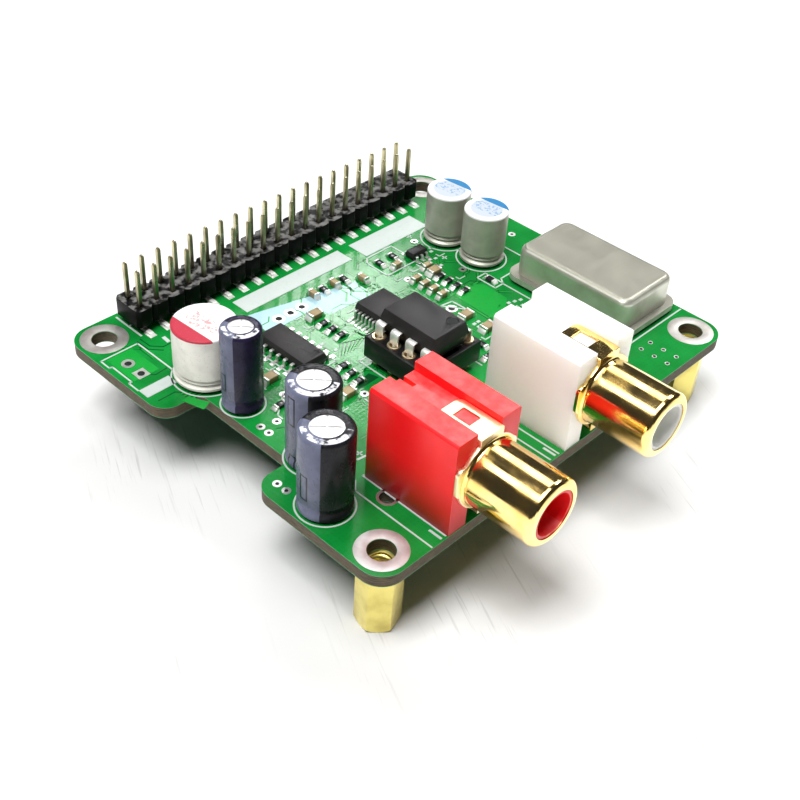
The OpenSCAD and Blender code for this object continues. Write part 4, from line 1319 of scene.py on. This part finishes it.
@dataclass
class Jack:
    """One phono jack: its moulded housing and gold parts."""

    colour: str
    plastic: Finish
    plate: Finish

    def build(self) -> None:
        """Rounds the housing and the stamped plate, and plates the metal."""
        rounded_copy(f"{self.colour}_jack_housing", self.plastic, 0.16, 3)
        rounded_copy(f"{self.colour}_jack_ground", self.plate, 0.05)
        paint(f"{self.colour}_jack_barrel", Finish.GOLD)
        paint(f"{self.colour}_jack_contact", Finish.GOLD)


@dataclass
class Standoffs:
    """The two brass standoffs and the thread turns in their bores."""

    x: float = 29.0
    y: float = -24.5
    length: float = 9.0
    bore: float = 1.24
    depth: float = 0.2
    pitch: float = 0.45
    crest: float = 0.04
    end_gap: float = 0.1

    def build(self) -> None:
        """Rounds the hexagons and cuts the threads."""
        for side, sign in (("left", -1), ("right", 1)):
            rounded_copy(f"standoff_{side}", Finish.BRASS, 0.07)
            self.thread(side, sign)

    def thread(self, side: str, sign: int) -> None:
        """A lining of thread turns inside a bore.

        Args:
            side: Name of the standoff's side.
            sign: -1 on the left and 1 on the right.
        """
        turns = int((self.length - 2 * self.end_gap) / self.pitch)
        base = self.end_gap - self.length
        crest = self.bore - self.crest
        profile = [(self.bore, base), (self.bore, base + turns * self.pitch)]
        for k in reversed(range(turns)):
            level = base + k * self.pitch
            profile += [(crest, level + self.pitch), (self.bore - self.depth, level + self.pitch / 2)]
        profile.append((crest, base))
        shape = Shape()
        shape.lathe(profile, (sign * self.x, self.y, 0.0), 32)
        shape.finish(f"standoff_{side}_thread", Finish.BRASS, "brass", smooth=60)


@dataclass
class Capacitors:
    """The six electrolytic capacitors."""

    sleeve_top: float = BOARD_TOP + 11.4
    white_top: float = BOARD_TOP + 7.9
    silver_top: float = BOARD_TOP + 8.0
    silver_x: float = 21.15
    black: Colour = (0.008, 0.008, 0.010)
    navy: Colour = (0.012, 0.009, 0.026)
    stripe: Colour = (0.125, 0.135, 0.20)
    stripe_from: float = 112.0
    groove_bridge: float = 0.16
    groove_depth: float = 0.7
    groove_span: Span = (0.6, 3.4)

    def build(self) -> None:
        """Dresses cans, sleeves, seals and leads."""
        films, cans = self.films(), self.cans()
        for name, film in films.items():
            paint(f"{name}_capacitor_can", Finish.BARE)
            slot = "navy_sleeve" if name == "slim" else "black_sleeve"
            self.drawn_film(f"{name}_capacitor_sleeve", film)
        for name, can in cans.items():
            paint(f"{name}_capacitor_can", can)
        for name in (*films, *cans):
            paint(f"{name}_capacitor_seal", Finish.RUBBER)
            paint(f"{name}_capacitor_leads", Finish.WIRE)

    def films(self) -> dict[str, SleeveFilm]:
        """The films of the sleeves, each with its stripe and marks.

        Returns:
            The films by their capacitors' names.
        """
        made = {}
        for name, centre, radius, film, stripe_to, marks, mark in (
            ("front", (-28.75, -15.6), 3.15, self.black, 215, ((4.4, 7.9),), (167, 188.5)),
            ("middle", (-24.55, -9.1), 3.15, self.black, 215.5, ((-1.0, 3.6), (8.0, 12.0)), (164, 187)),
            ("slim", (-24.25, 3.4), 2.5, self.navy, 208, ((4.7, 7.2),), (160, 182)),
        ):
            made[name] = SleeveFilm(f"{name}_sleeve_film", centre, radius, self.sleeve_top, film, self.stripe,
                                    (self.stripe_from, stripe_to), marks, mark)
        return made

    def cans(self) -> dict[str, PrintedCan]:
        """The coats of the cans that have no sleeve.

        Returns:
            The coats by their capacitors' names.
        """
        white = PrintedCan(
            "white_can", (-23.95, 10.5), self.white_top, coat=(0.76, 0.74, 0.67), top_coat=(0.66, 0.65, 0.63),
            ink=(0.40, 0.028, 0.050), faint=(0.50, 0.15, 0.16), chord=1.85, towards=183,
            speck=(0.36, 0.32, 0.28), metallic=0.0, roughness=0.4,
        )
        rear, front = (
            PrintedCan(
                f"{name}_silver_can", (self.silver_x, y), self.silver_top, coat=(0.47, 0.47, 0.40),
                top_coat=(0.40, 0.44, 0.485), ink=(0.010, 0.15, 0.33), faint=(0.10, 0.24, 0.42), chord=1.65,
                towards=6, speck=(0.30, 0.30, 0.27), metallic=0.4, roughness=0.45,
            )
            for name, y in (("rear", 12.4), ("front", 5.5))
        )
        return {"white": white, "rear_silver": rear, "front_silver": front}

    def drawn_film(self, node: str, film: SleeveFilm) -> None:
        """Replaces a sleeve by a copy whose film bridges the can's groove instead of following it.

        Args:
            node: The sleeve's node.
            film: Its film.
        """
        bm = merged_copy(node)
        bridge = film.radius - self.groove_bridge
        low, high = self.groove_span
        for v in bm.verts:
            arm = Vector((v.co.x - film.centre[0] * MM, v.co.y - film.centre[1] * MM, 0.0))
            inside = film.radius - self.groove_depth < arm.length / MM < bridge
            if inside and low < v.co.z / MM - BOARD_TOP < high:
                v.co += arm * (bridge * MM / arm.length - 1)
        stand_in(bm, node, "film", film, 40)


@dataclass
class Oscillator:
    """The canned oscillator."""

    def build(self) -> None:
        """Dresses its can, base and pins."""
        paint("oscillator_can", Finish.NICKEL)
        paint("oscillator_base", Finish.NICKEL)
        paint("oscillator_pins", Finish.PIN)


@dataclass
class Amplifier:
    """The eight leg chip in its turned-pin socket."""

    top: float = 9.1
    dimple: Point = (-1.15, -8.45)
    dimple_r: float = 0.7
    dimple_depth: float = 0.15

    def build(self) -> None:
        """Rounds the body and the frame, and plates the legs and contacts."""
        rounded_copy("amplifier_body", Finish.EPOXY, 0.1)
        rounded_copy("amplifier_socket", Finish.BLACK, 0.08)
        rounded_copy("amplifier_legs", Finish.SOLDER, 0.05)
        paint("amplifier_socket_contacts", Finish.SATIN)
        self.first_leg_mark()

    def first_leg_mark(self) -> None:
        """A dark disc on the floor of the dimple beside the first leg: painted shade in the recess."""
        shape = Shape()
        floor = self.top - self.dimple_depth
        shape.disc(self.dimple, self.dimple_r, floor - 0.02, floor + 0.01, 28)
        shape.finish("amplifier_dimple", Finish.HOLE_SHADE, "moulded_epoxy")


@dataclass(frozen=True)
class LeadRows:
    """The pads of one chip: a row on either side of its centre."""

    centre: Point
    count: int
    pitch: float
    reach: float
    inner: float
    outer: float
    half: float
    along_x: bool = False

    def build(self, shape: Shape, high: float) -> None:
        """Adds the pads.

        Args:
            shape: The shape that they are added to.
            high: Level of their tops.
        """
        for s in (-1, 1):
            for k in range(self.count):
                step = (k - (self.count - 1) / 2) * self.pitch
                lows = (s * self.reach - self.inner, step - self.half)
                highs = (s * self.reach + self.outer, step + self.half)
                if self.along_x:
                    lows, highs = lows[::-1], highs[::-1]
                low_corner = [c + d for c, d in zip(self.centre, lows)]
                high_corner = [c + d for c, d in zip(self.centre, highs)]
                shape.box((*low_corner, BASE), (*high_corner, high))


@dataclass
class SurfaceParts:
    """The flat chips and the chip resistors and capacitors, with their solder."""

    pad_high: float = 0.04
    pad_half: float = 0.17
    pad_margin: float = 0.02
    rows: tuple[LeadRows, ...] = (
        LeadRows((1, 4.05), 10, 0.65, 3.9, 0.7, 0.5, 0.19),
        LeadRows((-13.45, 6.75), 7, 1.27, 3.0, 0.6, 0.7, 0.32),
        LeadRows((14.5, 11.85), 3, 0.95, 1.35, 0.4, 0.4, 0.3, along_x=True),
    )
    resistors: list[tuple[float, float, float]] = field(default_factory=lambda: [
        *[(13, 5.9 - 1.5 * k, 0) for k in range(4)], *[(-6.5, 8.5 - 1.65 * k, 0) for k in range(3)],
        *[(-1.2 + 3.75 * k, 14.05, 90) for k in range(2)],
        *[(-10.7 - 0.3 * k, 0.4 - 1.7 * k, 0) for k in range(3)],
        *[(9 + 2.6 * k, 13.6, 90) for k in range(2)], (5.6, -8.2, 90), (4.3, -10.4, 0), (17.7, 0.85, 90),
        (-21.4, 0, 0),
    ])
    small: list[tuple[float, float, float]] = field(default_factory=lambda: [
        *[(9.9, 7.5 - 1.63 * k, 0) for k in range(4)], *[(-3.05 + 3.8 * k, 14.05, 90) for k in range(2)],
        (4.55, 12.4, 90), (13.3, 8.7, 0), (10.3, 11.6, 0),
    ])
    large: list[tuple[float, float, float]] = field(default_factory=lambda: [
        (13.2, 7.2, 0), (-6.1, 10.5, 0), (-19, 4.5, 0), (-14, -3.8, 0), (8.7, -2.7, 0), (8.9, -6.3, 0),
    ])

    def build(self) -> None:
        """Rounds the bodies, tins the leads and adds pads and solder."""
        for chip, bevel in (("converter", 0.05), ("logic", 0.05), ("regulator", 0.04)):
            rounded_copy(f"{chip}_body", Finish.EPOXY, bevel)
            paint(f"{chip}_leads", Finish.TIN)
        rounded_copy("chip_resistors", Finish.RESISTOR, 0.03)
        rounded_copy("chip_capacitors", Finish.CERAMIC, 0.06)
        rounded_copy("chip_terminals", Finish.TIN, 0.06)
        self.solder()
        self.lead_pads()

    def solder(self) -> None:
        """Solder wedges at both ends of each chip part."""
        shape = Shape()
        sets = ((self.resistors, 1.6, 0.8, 0.4), (self.small, 1.6, 0.8, 0.55), (self.large, 2.0, 1.25, 0.6))
        for parts, length, width, climb in sets:
            for x, y, turn in parts:
                along_x = turn == 0
                across = width / 2 + self.pad_margin
                hx, hy = (self.pad_half, across) if along_x else (across, self.pad_half)
                for s in (-1, 1):
                    side = (s, 0) if along_x else (0, s)
                    cx, cy = (c + d * (length / 2 + self.pad_half) for c, d in zip((x, y), side))
                    shape.wedge((cx - hx, cy - hy, BASE), (cx + hx, cy + hy, BOARD_TOP + climb), side)
        shape.finish("part_solder", Finish.SOLDER, "tinned_lead", bevel=0.02)

    def lead_pads(self) -> None:
        """Tinned pads below the chips' leads."""
        shape = Shape()
        for rows in self.rows:
            rows.build(shape, BOARD_TOP + self.pad_high)
        shape.finish("lead_pads", Finish.TIN, "tinned_lead")


# Studio


@dataclass
class Studio:
    """The table, the lights and the camera."""

    floor_z: float = -9.0
    camera_at: tuple[float, float, float] = (-94.3155, -83.1579, 95.1138)
    camera_turn: tuple[float, float, float] = (0.876469, -0.056203, -0.799944)
    lens: float = 54.686
    shift: Point = (0.00118, -0.0004)
    sensor: float = 36.0
    table_reach: float = 3000.0
    room: Colour = (0.04, 0.04, 0.042)
    backdrop: Colour = (1.0, 1.0, 1.0)

    def build(self) -> None:
        """Sets up the table, the world, the lamps and the camera."""
        bpy.context.scene.view_settings.view_transform = "Standard"
        self.table()
        self.world()
        self.lamps()
        self.camera()

    def table(self) -> None:
        """A wide white table top."""
        bm = bmesh.new()
        bmesh.ops.create_grid(bm, x_segments=1, y_segments=1, size=self.table_reach * MM,
                              matrix=Matrix.Translation((0, 0, self.floor_z * MM)))
        mesh = bpy.data.meshes.new("table")
        bm.to_mesh(mesh)
        bm.free()
        mesh.materials.append(material(Finish.TABLE))
        made = bpy.data.objects.new("table", mesh)
        bpy.context.scene.collection.objects.link(made)

    def world(self) -> None:
        """White for the camera, and a soft room for everything else."""
        world = bpy.data.worlds.new("studio")
        world.use_nodes = True
        bpy.context.scene.world = world
        nodes = Nodes(world.node_tree)
        nodes.tree.nodes.remove(nodes.tree.nodes["Background"])
        room, white = (
            nodes.node("ShaderNodeBackground", inputs={"Color": rgba(colour), "Strength": 1.0})
            for colour in (self.room, self.backdrop)
        )
        seen = nodes.node("ShaderNodeLightPath", out="Is Camera Ray")
        both = nodes.node("ShaderNodeMixShader", inputs={0: seen, 1: room, 2: white})
        nodes.plug(nodes.tree.nodes["World Output"].inputs["Surface"], both)

    def lamp(self, name: str, at: Sequence[float], aim: Sequence[float], size: Point, watts: float) -> None:
        """Adds a soft box.

        Args:
            name: Name of the lamp.
            at: Its place in millimetres.
            aim: The point it faces, in millimetres.
            size: Width and height in millimetres.
            watts: Its power.
        """
        data = bpy.data.lights.new(name, "AREA")
        data.shape = "RECTANGLE"
        data.size, data.size_y = size[0] * MM, size[1] * MM
        data.energy = watts
        made = bpy.data.objects.new(name, data)
        made.location = Vector(at) * MM
        made.rotation_euler = (Vector(aim) - Vector(at)).to_track_quat("-Z", "Y").to_euler()
        bpy.context.scene.collection.objects.link(made)

    def lamps(self) -> None:
        """The key, the fills, two soft boxes behind and the panel whose reflection lies on the board."""
        self.lamp("key", (-370, 20, 950), (0, 0, 0), (480, 480), 11.6)
        self.lamp("side_fill", (700, 40, 700), (0, 0, 0), (320, 320), 5.2)
        self.lamp("overhead", (0, -40, 1000), (0, 0, 0), (440, 440), 3.8)
        self.lamp("left_softbox", (-460, 370, 800), (-460, 370, 0), (360, 260), 1.05)
        self.lamp("right_softbox", (460, 370, 800), (460, 370, 0), (440, 260), 1.26)
        self.lamp("glare_panel", (281, 289, 290), (-3.5, 7, 0), (66, 60), 0.34)

    def camera(self) -> None:
        """The camera at the photograph's place."""
        data = bpy.data.cameras.new("camera")
        data.lens = self.lens
        data.sensor_width = self.sensor
        data.shift_x, data.shift_y = self.shift
        data.clip_start = 0.001
        made = bpy.data.objects.new("camera", data)
        made.location = Vector(self.camera_at) * MM
        made.rotation_euler = Euler(self.camera_turn)
        bpy.context.scene.collection.objects.link(made)
        bpy.context.scene.camera = made


def main() -> None:
    """Builds the studio and every sub-assembly."""
    logging.basicConfig(level=logging.INFO, format="%(message)s")
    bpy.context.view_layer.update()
    Studio().build()
    for assembly in (
        Board(),
        Header(),
        Jack("red", Finish.RED, Finish.SATIN),
        Jack("white", Finish.WHITE, Finish.GOLD),
        Standoffs(),
        Capacitors(),
        Oscillator(),
        Amplifier(),
        SurfaceParts(),
    ):
        assembly.build()


if __name__ == "__main__":
    main()
